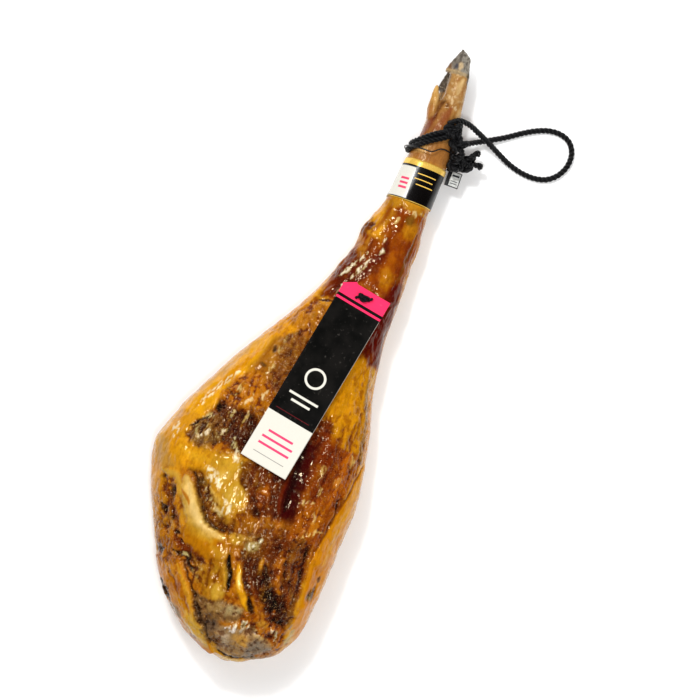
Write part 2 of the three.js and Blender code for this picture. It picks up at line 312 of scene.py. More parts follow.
def station_values(along):
    """Left, right, top and base of the leg at each along."""
    table = np.array(STATIONS, float)
    at, values = table[:, 0], table[:, 1:]
    gaps = np.diff(at)[:, None]
    rises = np.diff(values, axis=0) / gaps
    before, after = gaps[:-1], gaps[1:]
    turning = rises[:-1] * rises[1:] <= 0
    safe_before = np.where(turning, 1, rises[:-1])
    safe_after = np.where(turning, 1, rises[1:])
    slopes = np.zeros_like(values)
    inner = (before + after) / (before / safe_after + after / safe_before)
    slopes[1:-1] = np.where(turning, 0, inner)
    along = np.clip(np.atleast_1d(np.asarray(along, float)), at[0], at[-1])
    i = np.clip(np.searchsorted(at, along, "right") - 1, 0, len(at) - 2)
    span = gaps[i]
    t = (along[:, None] - at[i][:, None]) / span
    blend = t * t * (3 - 2 * t)
    start_pull = t * (1 - t) ** 2 * span * slopes[i]
    end_pull = t * t * (t - 1) * span * slopes[i + 1]
    return (values[i] + (values[i + 1] - values[i]) * blend + start_pull + end_pull).T


# The sections are superellipses: 2 would be an ellipse, and more is squarer.
SECTION_POWER = 2.25


def section(along, lift=0.0):
    """Middle and half sizes of the leg's section: across, half width, waist, reach up, reach down."""
    left, right, top, base = station_values(along)
    left, right, top, base = left - lift, right + lift, top + lift, base - lift
    share = 0.42 + 0.08 * smoothstep(300, 600, np.atleast_1d(along))
    waist = base + (top - base) * share
    return (left + right) / 2, (right - left) / 2, waist, top - waist, waist - base


def skin_points(along, angle, lift=0.0):
    """Points of the skin: angle 0 is the right side, 90 degrees the cut face."""
    along, angle = np.broadcast_arrays(np.atleast_1d(along).astype(float), angle)
    middle, half, waist, up, down = section(along, lift)
    c, s = np.cos(angle), np.sin(angle)
    across = middle + half * np.sign(c) * np.abs(c) ** (2 / SECTION_POWER)
    reach = np.where(s > 0, up, down)
    height = waist + reach * np.sign(s) * np.abs(s) ** (2 / SECTION_POWER)
    return np.stack([across, along, height], axis=1)


def section_reach(points, lift=0.0):
    """How far out each point is in its section: 1 is on the skin, below 1 inside it."""
    middle, half, waist, up, down = section(points[:, 1], lift)
    x = np.abs(points[:, 0] - middle) / half
    z = points[:, 2] - waist
    z = np.abs(z) / np.where(z > 0, up, down)
    reach = (x**SECTION_POWER + z**SECTION_POWER) ** (1 / SECTION_POWER)
    return np.maximum(reach, 1e-6), np.stack([middle, points[:, 1], waist], axis=1)


def pushed_out(points, clearance):
    """Points moved out of the leg until they clear its skin."""
    reach, middle = section_reach(points, clearance)
    factor = np.maximum(1 / reach, 1)[:, None]
    return middle + (points - middle) * factor


# ------------------------------------------------------------------ noise and brushes


# Unit vectors spread evenly over a sphere, the slopes of the noise at its lattice points.
SPIRAL = np.arange(64) + 0.5
SPIRAL_Z = 1 - SPIRAL / 32
SPIRAL_TURN = SPIRAL * math.pi * (1 + math.sqrt(5))
SLOPES = np.stack([np.sqrt(1 - SPIRAL_Z**2) * np.cos(SPIRAL_TURN),
                   np.sqrt(1 - SPIRAL_Z**2) * np.sin(SPIRAL_TURN), SPIRAL_Z], axis=1)
LATTICE_TURN = np.array(Matrix.Rotation(0.7, 3, (0.5, 0.3, 0.8)))


def lattice_noise(points, size, seed):
    """Smooth gradient noise, about -1 to 1, with bumps about size wide."""
    p = (points @ LATTICE_TURN.T) / size + 31.7 * seed
    cell = np.floor(p).astype(np.int64)
    f = p - cell
    w = f * f * f * (f * (f * 6 - 15) + 10)
    total = np.zeros(len(p))
    for corner in product((0, 1), repeat=3):
        c = cell + np.array(corner)
        # A hash of the lattice point picks its slope.
        h = (c[:, 0] * 73856093) ^ (c[:, 1] * 19349663) ^ (c[:, 2] * 83492791) ^ (seed * 7919)
        h = ((h ^ (h >> 13)) * 1274126177) & 0xFFFFFFFF
        h = ((h ^ (h >> 15)) * 2246822519) & 0xFFFFFFFF
        slope = SLOPES[(h >> 9) & 63]
        weight = np.prod(np.where(corner, w, 1 - w), axis=1)
        total += weight * np.sum(slope * (f - corner), axis=1)
    return total * 1.35


def fractal(points, size, seed, octaves=4):
    """Layers of noise, each half as strong and as wide as the last."""
    total, strength, scale = np.zeros(len(points)), 1.0, size
    norm = 0.0
    for octave in range(octaves):
        total += strength * lattice_noise(points, scale, seed + octave)
        norm += strength
        strength /= 2
        scale /= 2.03
    return total / norm * 1.6


def line_distance(x, y, points):
    """Distance from each (x, y) to a line through points, and the share of the way along it."""
    best = np.full(len(x), 1e9)
    share = np.zeros(len(x))
    pts = np.array(points, float)
    lengths = np.linalg.norm(np.diff(pts, axis=0), axis=1)
    reach = np.concatenate([[0], np.cumsum(lengths)])
    for i in range(len(pts) - 1):
        a, d = pts[i], pts[i + 1] - pts[i]
        t = np.clip(((x - a[0]) * d[0] + (y - a[1]) * d[1]) / (d @ d), 0, 1)
        gap = np.hypot(x - a[0] - t * d[0], y - a[1] - t * d[1])
        closer = gap < best
        best = np.where(closer, gap, best)
        share = np.where(closer, (reach[i] + t * lengths[i]) / reach[-1], share)
    return best, share


def outline_distance(x, y, points):
    """Distance to a closed outline, negative outside it."""
    gap, _ = line_distance(x, y, [*points, points[0]])
    inside = np.zeros(len(x), bool)
    for (x1, y1), (x2, y2) in zip(points, [*points[1:], points[0]]):
        crosses = (y1 > y) != (y2 > y)
        run = (x2 - x1) / (y2 - y1) if y2 != y1 else 0
        inside ^= crosses & (x < x1 + (y - y1) * run)
    return np.where(inside, gap, -gap)


class Surface:
    """The ham's skin as points, and the brushes that mark it.

    Places and sizes are across and along, in millimetres. patch, stroke and blob each give a mask, and so
    does the brush of small flecks, which paints highlights. paint takes it with a colour, its strength, the
    millimetres that it raises the skin, and how rough and how dry it leaves it. A point's x and y wander a
    little, so that edges are uneven.
    """

    def __init__(self, points, normals):
        self.points = points
        self.across, self.along, self.height = points.T
        self.up = smoothstep(-0.15, 0.35, normals[:, 2])
        self.colour = np.zeros((len(points), 3))
        self.relief = np.zeros(len(points))
        self.dry = np.zeros(len(points))
        self.rough = np.full(len(points), 0.2)
        self.fuzzy = fractal(points, 9, 3, 4)
        self.fine = fractal(points, 3.2, 11, 3)
        self.flecks = fractal(points * [1.0, 0.45, 1.0], 3.6, 15, 2)
        self.x = self.across + 2.2 * fractal(points, 22, 20, 4)
        self.y = self.along + 2.2 * fractal(points, 22, 40, 4)

    def patch(self, outline, soft=4, ragged=2.5):
        """A filled outline."""
        gap = outline_distance(self.x, self.y, outline) + ragged * self.fuzzy
        return smoothstep(-soft, soft, gap) * self.up

    def stroke(self, line, width, soft=0.5, ragged=0.25, taper=True):
        """A brush stroke. soft and ragged are shares of its width."""
        gap, share = line_distance(self.x, self.y, line)
        half = width / 2 * (1 + ragged * 1.5 * self.fuzzy)
        if taper:
            half = half * np.sqrt(np.clip(4 * share * (1 - share), 0.15, 1))
        return smoothstep(1 + soft, 1 - soft, gap / np.maximum(half, 0.3)) * self.up

    def blob(self, across, along, wide, long, turn=0.0, ragged=0.2):
        """An oval with a soft edge."""
        c, s = math.cos(math.radians(turn)), math.sin(math.radians(turn))
        dx, dy = self.x - across, self.y - along
        u, v = (dx * c + dy * s) / wide, (dy * c - dx * s) / long
        r = np.hypot(u, v) + ragged * self.fuzzy
        return smoothstep(1.25, 0.35, r) * self.up

    def painted_glints(self, line, width):
        """A stroke split into small flecks that run along the fibres: painted highlights, the glints of the
        wet glaze.
        """
        whole = self.stroke(line, width, 0.7, 0.5)
        return whole * smoothstep(-0.05, 0.35, self.flecks + 0.3 * (whole - 0.5))

    def paint(self, mask, rgb, strength=1.0, raised=0.0, rough=None, dry=None):
        m = np.clip(mask * strength, 0, 1)
        self.colour += (srgb(*rgb) - self.colour) * m[:, None]
        self.relief += mask * raised
        if rough is not None:
            self.rough += (rough - self.rough) * m
        if dry is not None:
            self.dry += (dry - self.dry) * m


# ------------------------------------------------------------------ the ham

GOLD = (222, 156, 44)
DEEP_GOLD = (205, 132, 20)
TAN = (206, 168, 96)
SOOT = (26, 17, 14)

VOXEL_SIZE, QUICK_VOXEL_SIZE = 1.35, 2.2
SMOOTHING, SMOOTHING_PASSES = 0.5, 6
# The underside is thinned out to this share of its faces.
BELOW_SHARE = 0.7


def ham_base_mesh():
    """The CAD ham as one evenly fine mesh, smooth where the CAD has facets, coarser below."""
    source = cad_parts["ham"]
    work = bpy.data.objects.new("work", source.data.copy())
    bpy.context.scene.collection.objects.link(work)
    remesh = work.modifiers.new("remesh", "REMESH")
    remesh.mode = "VOXEL"
    remesh.voxel_size = VOXEL_SIZE * MM
    mesh = evaluated(work)
    work.modifiers.clear()
    co = (vertex_array(mesh) - ORIGIN) / MM
    reach, middle = section_reach(co)
    # Points on the leg's own skin move to the smooth section. The sawn butt, the toes, the sole
    # that lies on the table and whatever stands off the skin stay as the CAD has them.
    on_leg = smoothstep(1.07, 1.02, reach) * smoothstep(752, 735, co[:, 1])
    on_leg *= smoothstep(1, 7, co[:, 1]) * smoothstep(1.5, 4.0, co[:, 2])
    target = middle + (co - middle) / reach[:, None]
    co += (target - co) * on_leg[:, None]
    mesh.vertices.foreach_set("co", to_frame(co).ravel())
    work.data = mesh
    below = work.vertex_groups.new(name="below")
    normals = vertex_array(mesh, "normal")
    chosen = np.nonzero((normals[:, 2] < -0.35) & (co[:, 1] < 740))[0].tolist()
    below.add(chosen, 1.0, "REPLACE")
    smooth = work.modifiers.new("smooth", "SMOOTH")
    smooth.factor = SMOOTHING
    smooth.iterations = SMOOTHING_PASSES
    thin = work.modifiers.new("thin", "DECIMATE")
    thin.vertex_group = "below"
    thin.ratio = BELOW_SHARE
    thin.use_collapse_triangulate = True
    result = evaluated(work)
    bpy.data.objects.remove(work)
    result.name = "ham_flesh"
    return result


def evaluated(piece):
    """A new mesh with the piece's modifiers applied."""
    graph = bpy.context.evaluated_depsgraph_get()
    graph.update()
    return bpy.data.meshes.new_from_object(piece.evaluated_get(graph))


def paint_ground(s):
    """The golden fat all over, and the broad colours of the cut face."""
    s.colour[:] = srgb(*GOLD)
    broad = fractal(s.points, 60, 60, 3)
    s.paint(smoothstep(0.1, 0.9, broad), DEEP_GOLD, 0.7)
    s.paint(smoothstep(0.2, 0.9, -broad), TAN, 0.4)
    s.paint(smoothstep(0.5, 0.1, s.up), (200, 142, 62), 0.5)
    meat = [(-120, 110), (-95, 60), (-50, 22), (10, 16), (40, 50), (42, 150), (50, 230), (58, 285)]
    meat += [(45, 350), (34, 420), (26, 500), (-30, 520), (-62, 430), (-90, 400), (-112, 350)]
    meat += [(-135, 300), (-160, 240), (-150, 190), (-150, 130)]
    s.paint(s.patch(meat, 4, 4), (172, 98, 18), 0.85, 0, 0.55)


def paint_flap(s):
    """The flap of skin on the butt's left, with the seam along its edge."""
    flap = [(-112, 104), (-98, 85), (-85, 65), (-72, 45), (-55, 28), (-42, 14), (-35, 8)]
    flap += [(-60, -10), (-150, 20), (-160, 90)]
    s.paint(s.patch(flap, 1.0, 0.5), (200, 124, 24), 0.95, 2.2, 0.2)
    s.paint(s.stroke([(-126, 100), (-104, 72), (-84, 52)], 14, 0.8), (176, 98, 18), 0.7)
    s.paint(s.stroke([(-84, 44), (-66, 27), (-48, 15)], 17, 0.6), (226, 180, 84), 0.9)
    s.paint(s.stroke([(-112, 97), (-96, 76), (-78, 50), (-60, 32)], 6, 0.8), (218, 158, 58), 0.8, 0.5)
    s.paint(s.stroke([(-107, 103), (-92, 82), (-76, 58), (-60, 36), (-44, 18)], 3.5, 0.6, 0.5),
            (66, 34, 12), 0.85, -1.5)
    for line in ([(-118, 86), (-104, 66), (-92, 50)], [(-128, 96), (-116, 78)], [(-92, 62), (-78, 42)]):
        s.paint(s.stroke(line, 3, 0.8, 0.6), (150, 84, 16), 0.7, -0.5)
    s.paint(s.stroke([(-104, 60), (-90, 46), (-76, 34)], 10, 0.9), (216, 148, 40), 0.6)
    s.paint(s.stroke([(-127, 70), (-118, 58), (-109, 49)], 10, 0.5, 0.6), SOOT, 0.95, -0.8, 0.8)
    s.paint(s.stroke([(-108, 48), (-96, 39), (-88, 34)], 7, 0.8), (120, 104, 92), 0.8)
    s.paint(s.stroke([(-70, 19), (-62, 16)], 4, 0.6, 0.5), (120, 60, 14), 0.7)


def paint_hollow_by_flap(s):
    """The fat above the flap, and the hollow between them, dark with painted shade."""
    s.paint(s.patch([(-158, 128), (-122, 124), (-108, 106), (-116, 92), (-140, 92)], 4, 5),
            (150, 86, 20), 0.9, 0, 0.7)
    s.paint(s.blob(-118, 88, 16, 8, -35, 0.3), (206, 138, 58), 0.8, 0.8, 0.8)
    s.paint(s.patch([(-122, 153), (-66, 150), (-58, 122), (-72, 112), (-94, 114), (-116, 124)], 3, 2),
            (178, 112, 8), 1.0, 1.4, 0.1)
    s.paint(s.stroke([(-106, 146), (-92, 138), (-76, 142)], 10, 0.9), (196, 132, 22), 0.7)
    s.paint(s.stroke([(-80, 130), (-68, 124), (-60, 130)], 12, 0.9), (198, 144, 50), 0.7)
    s.paint(s.blob(-72, 137, 4, 2.5, 10), (150, 78, 14), 0.8, -0.4)
    # The dark brown and near-black strokes along the hollow are painted shade.
    s.paint(s.stroke([(-126, 126), (-112, 116), (-92, 109), (-76, 106)], 13, 0.5, 0.4),
            (110, 46, 4), 0.95, -1.5, 0.7)
    s.paint(s.stroke([(-104, 112), (-88, 104), (-78, 92)], 12, 0.6, 0.4), (92, 48, 12), 0.85, -1.2, 0.7)
    s.paint(s.stroke([(-124, 109), (-108, 110), (-100, 101), (-92, 92)], 6, 0.5, 0.6),
            (30, 18, 12), 0.95, -2.5, 0.8)
    # A grey line on the black streak: painted highlight.
    s.paint(s.stroke([(-113, 112), (-103, 108)], 3.5, 0.6, 0.6), (196, 178, 152), 0.7, 0, 0.8)
    s.paint(s.patch([(-96, 108), (-78, 106), (-76, 86), (-88, 84)], 3, 3), (180, 126, 58), 0.85, 1.0, 0.9)
    # Pale flecks on the brown: painted highlights.
    for line in ([(-96, 98), (-90, 92), (-82, 88)], [(-88, 102), (-82, 98), (-78, 92)]):
        s.paint(s.painted_glints(line, 4), (240, 222, 186), 0.8, 0.5)
    s.paint(s.blob(-143, 104, 7, 7, 0, 0.5), (52, 34, 22), 0.95, -1.5, 0.9)
    s.paint(s.blob(-143, 137, 11, 9, -20, 0.5), (34, 24, 18), 0.95, -3, 1.0)
    # A grey line beside the pit: painted highlight.
    s.paint(s.stroke([(-152, 143), (-140, 143), (-130, 132)], 3.5, 0.6, 0.6), (206, 186, 156), 0.7, 0, 1.0)


def paint_lean_by_flap(s):
    """The golden lean right of the hollow."""
    s.paint(s.patch([(-80, 120), (-60, 122), (-46, 116), (-44, 84), (-50, 66), (-72, 66), (-84, 92)], 4, 3),
            (170, 112, 26), 0.9, 0.8, 0.4)
    s.paint(s.blob(-56, 80, 12, 12, 10, 0.35), (208, 164, 74), 0.8, 0.8, 0.15)
    s.paint(s.blob(-66, 104, 6, 8, 0, 0.4), (196, 144, 50), 0.6)
    s.paint(s.stroke([(-76, 116), (-74, 98), (-70, 82)], 5, 0.9, 0.6), (118, 66, 14), 0.7, -0.5)


def paint_butt_muscles(s):
    """The sawn end's black and golden stripes of muscle."""
    s.paint(s.patch([(-50, 160), (-24, 154), (-18, 130), (-8, 88), (30, 58), (42, 74), (38, 112), (36, 166),
                     (16, 172), (-16, 164)], 6, 5),
            (112, 58, 10), 0.95, -0.6, 0.8)
    s.paint(s.patch([(-44, 136), (-22, 140), (-4, 118), (0, 92), (-18, 88), (-28, 96), (-38, 116)], 5, 4),
            (74, 30, 6), 0.95, -0.4, 0.7)
    s.paint(s.patch([(-6, 112), (22, 104), (38, 84), (38, 62), (22, 62), (2, 84)], 5, 5),
            (58, 22, 4), 0.9, -0.6, 0.8)
    s.paint(s.stroke([(-57, 127), (-52, 112), (-48, 98), (-46, 88)], 8, 0.3, 0.15),
            (14, 9, 7), 1.0, -4, 0.4)
    s.paint(s.stroke([(-62, 128), (-56, 108), (-50, 90)], 5, 0.9), (226, 170, 70), 0.6)
    s.paint(s.stroke([(-42, 120), (-36, 103), (-30, 93), (-22, 82), (-8, 66)], 9, 0.4, 0.12),
            (226, 158, 26), 1.0, 2.2, 0.1)
    s.paint(s.stroke([(-39, 112), (-35, 101), (-32, 95)], 4.5, 0.6), (250, 220, 124), 0.9, 0.3)
    s.paint(s.blob(-31, 84, 8, 7, 30, 0.4), (164, 98, 22), 0.6, 0, 0.5)
    s.paint(s.blob(4, 96, 11, 9, 20, 0.6), (24, 12, 6), 0.95, -1, 0.9)
    s.paint(s.blob(18, 88, 10, 5, -40, 0.5), (26, 12, 6), 0.9, -1, 0.9)
    s.paint(s.stroke([(-18, 88), (-11, 75), (-5, 63)], 8, 0.5, 0.5), (20, 12, 9), 0.95, -1.6, 0.8)
    s.paint(s.blob(28, 66, 9, 5, -25, 0.5), (22, 10, 6), 0.95, -1, 0.9)
    s.paint(s.stroke([(-12, 130), (-6, 118), (-2, 106)], 8, 0.7, 0.6), (38, 18, 8), 0.85, -1, 0.9)
    s.paint(s.stroke([(14, 132), (15, 122), (17, 112)], 5, 0.7, 0.5), (54, 24, 6), 0.85, -1, 0.8)
    s.paint(s.blob(33, 130, 4, 14, 0, 0.5), (60, 26, 6), 0.8)
    s.paint(s.stroke([(8, 132), (10, 116), (16, 104)], 9, 0.8, 0.4), (176, 104, 14), 0.9, 0.6, 0.5)
    s.paint(s.stroke([(24, 112), (30, 98), (34, 88)], 6, 0.9, 0.5), (160, 88, 12), 0.8, 0.4, 0.5)
    s.paint(s.stroke([(6, 158), (3, 142), (2, 126)], 11, 0.6, 0.5), (182, 108, 18), 0.85, 0.4, 0.6)
    s.paint(s.stroke([(22, 158), (26, 140), (24, 118)], 7, 0.7, 0.5), (146, 82, 16), 0.7)
    s.paint(s.blob(-17, 132, 2.6, 9, 0, 0.3), (214, 142, 40), 0.9, 0.6)
    s.paint(s.stroke([(-26, 112), (-14, 96), (0, 78), (6, 62)], 5, 0.8, 0.6), (136, 68, 10), 0.7)
    s.paint(s.stroke([(18, 82), (14, 70), (8, 62)], 7, 0.7, 0.5), (168, 94, 16), 0.8)
    s.paint(s.stroke([(26, 116), (34, 100), (38, 80), (44, 66)], 7, 0.8, 0.5), (128, 88, 54), 0.8, 0, 0.8)


def paint_butt_fat(s):
    """The fat on the sawn end's right, with its dark spot."""
    s.paint(s.patch([(40, 170), (70, 170), (72, 60), (56, 52), (44, 74)], 2.5, 1.5),
            (212, 136, 16), 1.0, 0.8, 0.12)
    s.paint(s.stroke([(50, 168), (50, 130), (52, 96)], 12, 0.9), (196, 116, 10), 0.8)
    s.paint(s.stroke([(67, 178), (67, 110), (61, 64)], 8, 0.9), (220, 168, 62), 0.7)
    s.paint(s.blob(54, 115, 5.5, 11, -8, 0.3), (66, 44, 28), 0.95, -2, 0.9)
    s.paint(s.blob(53, 110, 2.5, 3.5), (150, 128, 104), 0.7)
    s.paint(s.stroke([(56, 138), (56, 130)], 3.5, 0.6), (80, 54, 26), 0.8)


def paint_butt_edge(s):
    """The brown and grey meat near the butt's edge."""
    s.paint(s.patch([(-22, 70), (34, 66), (46, 46), (34, 30), (4, 34), (-20, 52)], 3, 4),
            (170, 94, 14), 0.8, -0.3, 0.9)
    s.paint(s.stroke([(50, 66), (46, 56), (43, 44)], 5, 0.7), (196, 176, 152), 0.8)
    s.paint(s.blob(26, 48, 10, 7, -20, 0.5), (120, 60, 12), 0.7, -0.5, 1.0)
    s.paint(s.blob(10, 62, 9, 5, 0, 0.5), (206, 150, 66), 0.6, 0.5, 0.9)
    s.paint(s.patch([(-84, 72), (-60, 68), (-46, 74), (-20, 70), (-18, 54), (-42, 48), (-36, 30), (-30, 12),
                     (-50, 20), (-66, 38), (-78, 54)], 3, 3.5),
            (122, 92, 60), 0.9, -0.4, 0.8, 0.6)
    s.paint(s.blob(-54, 62, 14, 8, 10, 0.4), (158, 124, 78), 0.7, 0, 0.6, 0.5)
    s.paint(s.stroke([(-78, 58), (-68, 46), (-56, 34), (-44, 18)], 8, 0.7, 0.6),
            (70, 46, 32), 0.85, -1, 0.8)
    s.paint(s.blob(-48, 40, 13, 11, 0, 0.5), (98, 78, 64), 0.8, 0, 0.8, 0.8)
    s.paint(s.blob(-30, 66, 12, 8, 20, 0.5), (176, 156, 126), 0.8, 0.6, 0.9, 0.4)


def paint_butt_mould(s):
    """The pale mould on the butt's edge, and the fat below it."""
    s.paint(s.patch([(-46, 40), (-28, 46), (2, 50), (28, 40), (34, 26), (10, 12), (-26, 11)], 3, 3),
            (158, 126, 92), 0.95, 0.4, 0.6, 0.7)
    s.paint(s.patch([(-34, 34), (-24, 36), (-22, 16), (-34, 14)], 4, 3),
            (190, 168, 140), 0.8, 0.3, 0.6, 0.8)
    s.paint(s.blob(-8, 34, 13, 10, 0, 0.4), (198, 144, 66), 0.7, 0.6, 0.5, 0.3)
    # The white flecks on the mould are painted highlights.
    s.paint(s.painted_glints([(-22, 44), (-10, 50), (2, 54)], 12), (240, 230, 212), 0.85, 0.8, 0.8)
    s.paint(s.patch([(-2, 34), (12, 40), (30, 36), (34, 26), (10, 15), (0, 18)], 3, 3),
            (134, 120, 108), 0.85, 0, 0.7, 0.8)
    s.paint(s.stroke([(4, 46), (14, 44), (24, 40)], 6, 0.8, 0.5), (222, 184, 122), 0.6, 0.5, 0.8)
    # More white flecks on the mould: painted highlights.
    for line in ([(-34, 42), (-22, 47), (-8, 55)], [(-14, 57), (0, 53), (12, 46)], [(-30, 53), (-16, 46)],
                 [(-26, 40), (-10, 48)], [(20, 60), (28, 54), (30, 46)]):
        s.paint(s.painted_glints(line, 6), (244, 234, 214), 0.85, 1.2, 0.8)
    s.paint(s.stroke([(-32, 12), (-16, 8.5), (0, 12), (10, 17)], 4.5, 0.5, 0.5), SOOT, 0.95, -1.5, 0.6)
    s.paint(s.stroke([(-34, 4), (-10, 3), (8, 8)], 6, 0.6), (226, 178, 76), 0.95)
    s.paint(s.stroke([(12, 20), (30, 26), (40, 40)], 8, 0.8), (178, 110, 36), 0.8)
    s.paint(s.blob(37, 36, 3, 3), (96, 14, 6), 0.9)
    s.paint(s.blob(22, 41, 3, 2.5), (86, 18, 8), 0.8)


def paint_left_fat(s):
    """The fat left of the hip bone, with the pits on its inner side."""
    s.paint(s.patch([(-205, 150), (-200, 290), (-150, 275), (-158, 240), (-150, 205), (-160, 170),
                     (-158, 140)], 4),
            (214, 146, 40), 0.9, 0.5, 0.15)
    s.paint(s.stroke([(-196, 215), (-190, 250), (-178, 285)], 12, 0.9), (226, 172, 72), 0.7)
    s.paint(s.patch([(-192, 236), (-178, 236), (-160, 206), (-172, 198), (-188, 208)], 5, 4),
            (184, 138, 88), 0.75)
    s.paint(s.patch([(-172, 252), (-112, 238), (-104, 216), (-140, 208), (-172, 220)], 4, 4),
            (218, 150, 28), 0.95, 0.8, 0.2)
    s.paint(s.stroke([(-160, 232), (-140, 226), (-120, 228)], 10, 0.9), (230, 172, 48), 0.7)
    s.paint(s.patch([(-168, 200), (-152, 190), (-146, 168), (-126, 146), (-116, 130), (-160, 126),
                     (-170, 160)], 6, 4),
            (176, 112, 28), 0.85, -0.4, 0.7)
    for x, y, w, h in ((-149, 176, 6, 11), (-155, 154, 6, 7), (-138, 146, 5, 4), (-165, 192, 5, 4),
                       (-128, 132, 5, 3)):
        s.paint(s.blob(x, y, w, h, 20, 0.6), (40, 26, 16), 0.9, -2, 0.9)
    s.paint(s.stroke([(-156, 168), (-142, 154), (-130, 140)], 7, 0.7, 0.6), (112, 58, 14), 0.8, -1)
    s.paint(s.stroke([(-144, 172), (-134, 160), (-122, 142)], 5, 0.7, 0.5), (200, 136, 44), 0.8, 0.5)
    s.paint(s.stroke([(-172, 199), (-152, 196), (-142, 186), (-130, 166), (-120, 154)], 8, 0.8),
            (206, 158, 78), 0.9, 1, 0.2)


def paint_hip_rim(s):
    """The hip bone's bright rim."""
    rim = [(-139, 197), (-131, 186), (-121, 171), (-109, 158), (-93, 149), (-74, 145)]
    s.paint(s.stroke([(-137, 184), (-122, 160), (-104, 144), (-84, 138)], 16, 0.9),
            (208, 158, 62), 0.8, 0.5, 0.1)
    s.paint(s.stroke(rim, 19, 0.6, 0.15), (226, 184, 106), 1.0, 2.6, 0.05, 0.2)
    s.paint(s.stroke([(-134, 192), (-120, 170), (-102, 152), (-86, 147)], 7, 1.0), (240, 206, 132), 0.7)
    s.paint(s.stroke([(-139, 184), (-131, 176), (-124, 168)], 4, 0.6), (188, 110, 26), 0.9)


def paint_hip_trench(s):
    """The dry trench inside the rim, darkest along its bottom partly from painted shade, with painted
    highlights.
    """
    s.paint(s.patch([(-140, 210), (-118, 210), (-98, 188), (-80, 172), (-62, 168), (-62, 154), (-76, 150),
                     (-92, 152), (-107, 166), (-121, 188), (-132, 200)], 5, 3.5),
            (122, 74, 28), 0.95, -2.4, 1.0)
    # Along its bottom the dark brown is partly the meat's own and partly painted shade.
    trench = [(-134, 207), (-125, 198), (-117, 184), (-107, 170), (-98, 159), (-86, 153), (-72, 153)]
    s.paint(s.stroke(trench, 6, 0.7, 0.6), (48, 22, 6), 0.9, -2.2, 0.8)
    s.paint(s.stroke([(-104, 172), (-92, 162), (-76, 158), (-66, 158)], 8, 0.8, 0.5),
            (84, 38, 6), 0.85, -1, 0.8)
    s.paint(s.stroke([(-126, 206), (-112, 196), (-100, 186)], 9, 0.8, 0.6), (168, 118, 60), 0.7, 0.4, 0.9)
    # Pale flecks on the trench are painted highlights.
    s.paint(s.painted_glints([(-112, 194), (-100, 180), (-84, 168)], 9), (244, 228, 198), 0.8, 0.8, 0.8)
    s.paint(s.blob(-120, 200, 8, 6, 0, 0.6), (70, 58, 48), 0.8, 0, 1.0)
    s.paint(s.blob(-92, 168, 12, 5, -30, 0.6), (150, 96, 34), 0.7, 0.5, 1.0)
    s.paint(s.stroke([(-66, 170), (-62, 160), (-66, 152)], 6, 0.7, 0.5), (58, 32, 14), 0.8, -1, 0.9)


def paint_hip_boss(s):
    """The golden boss inside the trench."""
    s.paint(s.patch([(-120, 238), (-88, 246), (-66, 242), (-60, 206), (-60, 182), (-72, 168), (-92, 176),
                     (-104, 196), (-122, 214)], 8, 3),
            (196, 142, 46), 1.0, 2.8, 0.15)
    s.paint(s.blob(-94, 230, 18, 10, 0, 0.3), (204, 156, 60), 0.8, 0.6)
    s.paint(s.blob(-77, 196, 14, 16, 0, 0.3), (208, 164, 74), 0.9, 0.6)
    s.paint(s.blob(-96, 214, 10, 9, 0, 0.5), (224, 188, 112), 0.5)
    # White flecks on the boss are painted highlights.
    s.paint(s.painted_glints([(-84, 186), (-77, 179), (-72, 176)], 14), (252, 240, 214), 0.85, 0.5)
    s.paint(s.painted_glints([(-118, 218), (-106, 208), (-94, 202)], 15), (252, 240, 214), 0.85, 0.8)
    s.paint(s.stroke([(-104, 196), (-98, 188), (-90, 182)], 6, 0.8, 0.6), (232, 190, 118), 0.6, 0.4)
    s.paint(s.patch([(-84, 240), (-60, 246), (-56, 214), (-66, 206), (-76, 214)], 3, 3),
            (104, 58, 14), 0.9, -1.5, 0.6)


def paint_dry_meat(s):
    """The dark, dry meat above the boss."""
    s.paint(s.patch([(-154, 262), (-140, 284), (-110, 292), (-84, 284), (-80, 250), (-98, 246), (-112, 254),
                     (-136, 238), (-158, 248)], 4, 4),
            (92, 46, 12), 0.95, -1.2, 0.9)
    s.paint(s.patch([(-154, 258), (-142, 272), (-124, 270), (-116, 256), (-128, 236), (-150, 242)], 6, 4),
            (134, 98, 58), 0.85, 0.8, 0.9, 0.1)
    s.paint(s.blob(-126, 276, 9, 9, 0, 0.7), (140, 98, 60), 0.7, 0, 0.9)
    # Pale grey flecks: the meat's grey glaze, brightened as painted highlights.
    for line in ([(-150, 262), (-142, 250)], [(-138, 268), (-130, 254)], [(-126, 262), (-120, 250)],
                 [(-146, 274), (-134, 280)]):
        s.paint(s.painted_glints(line, 9), (226, 206, 178), 0.7, 0.6)
    s.paint(s.patch([(-112, 296), (-80, 296), (-80, 256), (-98, 250), (-110, 268)], 3, 3),
            (66, 22, 4), 0.9, -1, 0.8)
    s.paint(s.stroke([(-158, 258), (-150, 269), (-139, 278)], 3, 0.4), (40, 22, 8), 0.95, -1.5)
    # White flecks: painted highlights.
    for line in ([(-176, 246), (-170, 260)], [(-100, 264), (-97, 246)], [(-92, 254), (-89, 236)],
                 [(-86, 246), (-82, 230)], [(-172, 240), (-168, 250)], [(-118, 262), (-112, 272)],
                 [(-140, 252), (-132, 262)]):
        s.paint(s.painted_glints(line, 6), (244, 230, 206), 0.8, 0.8)


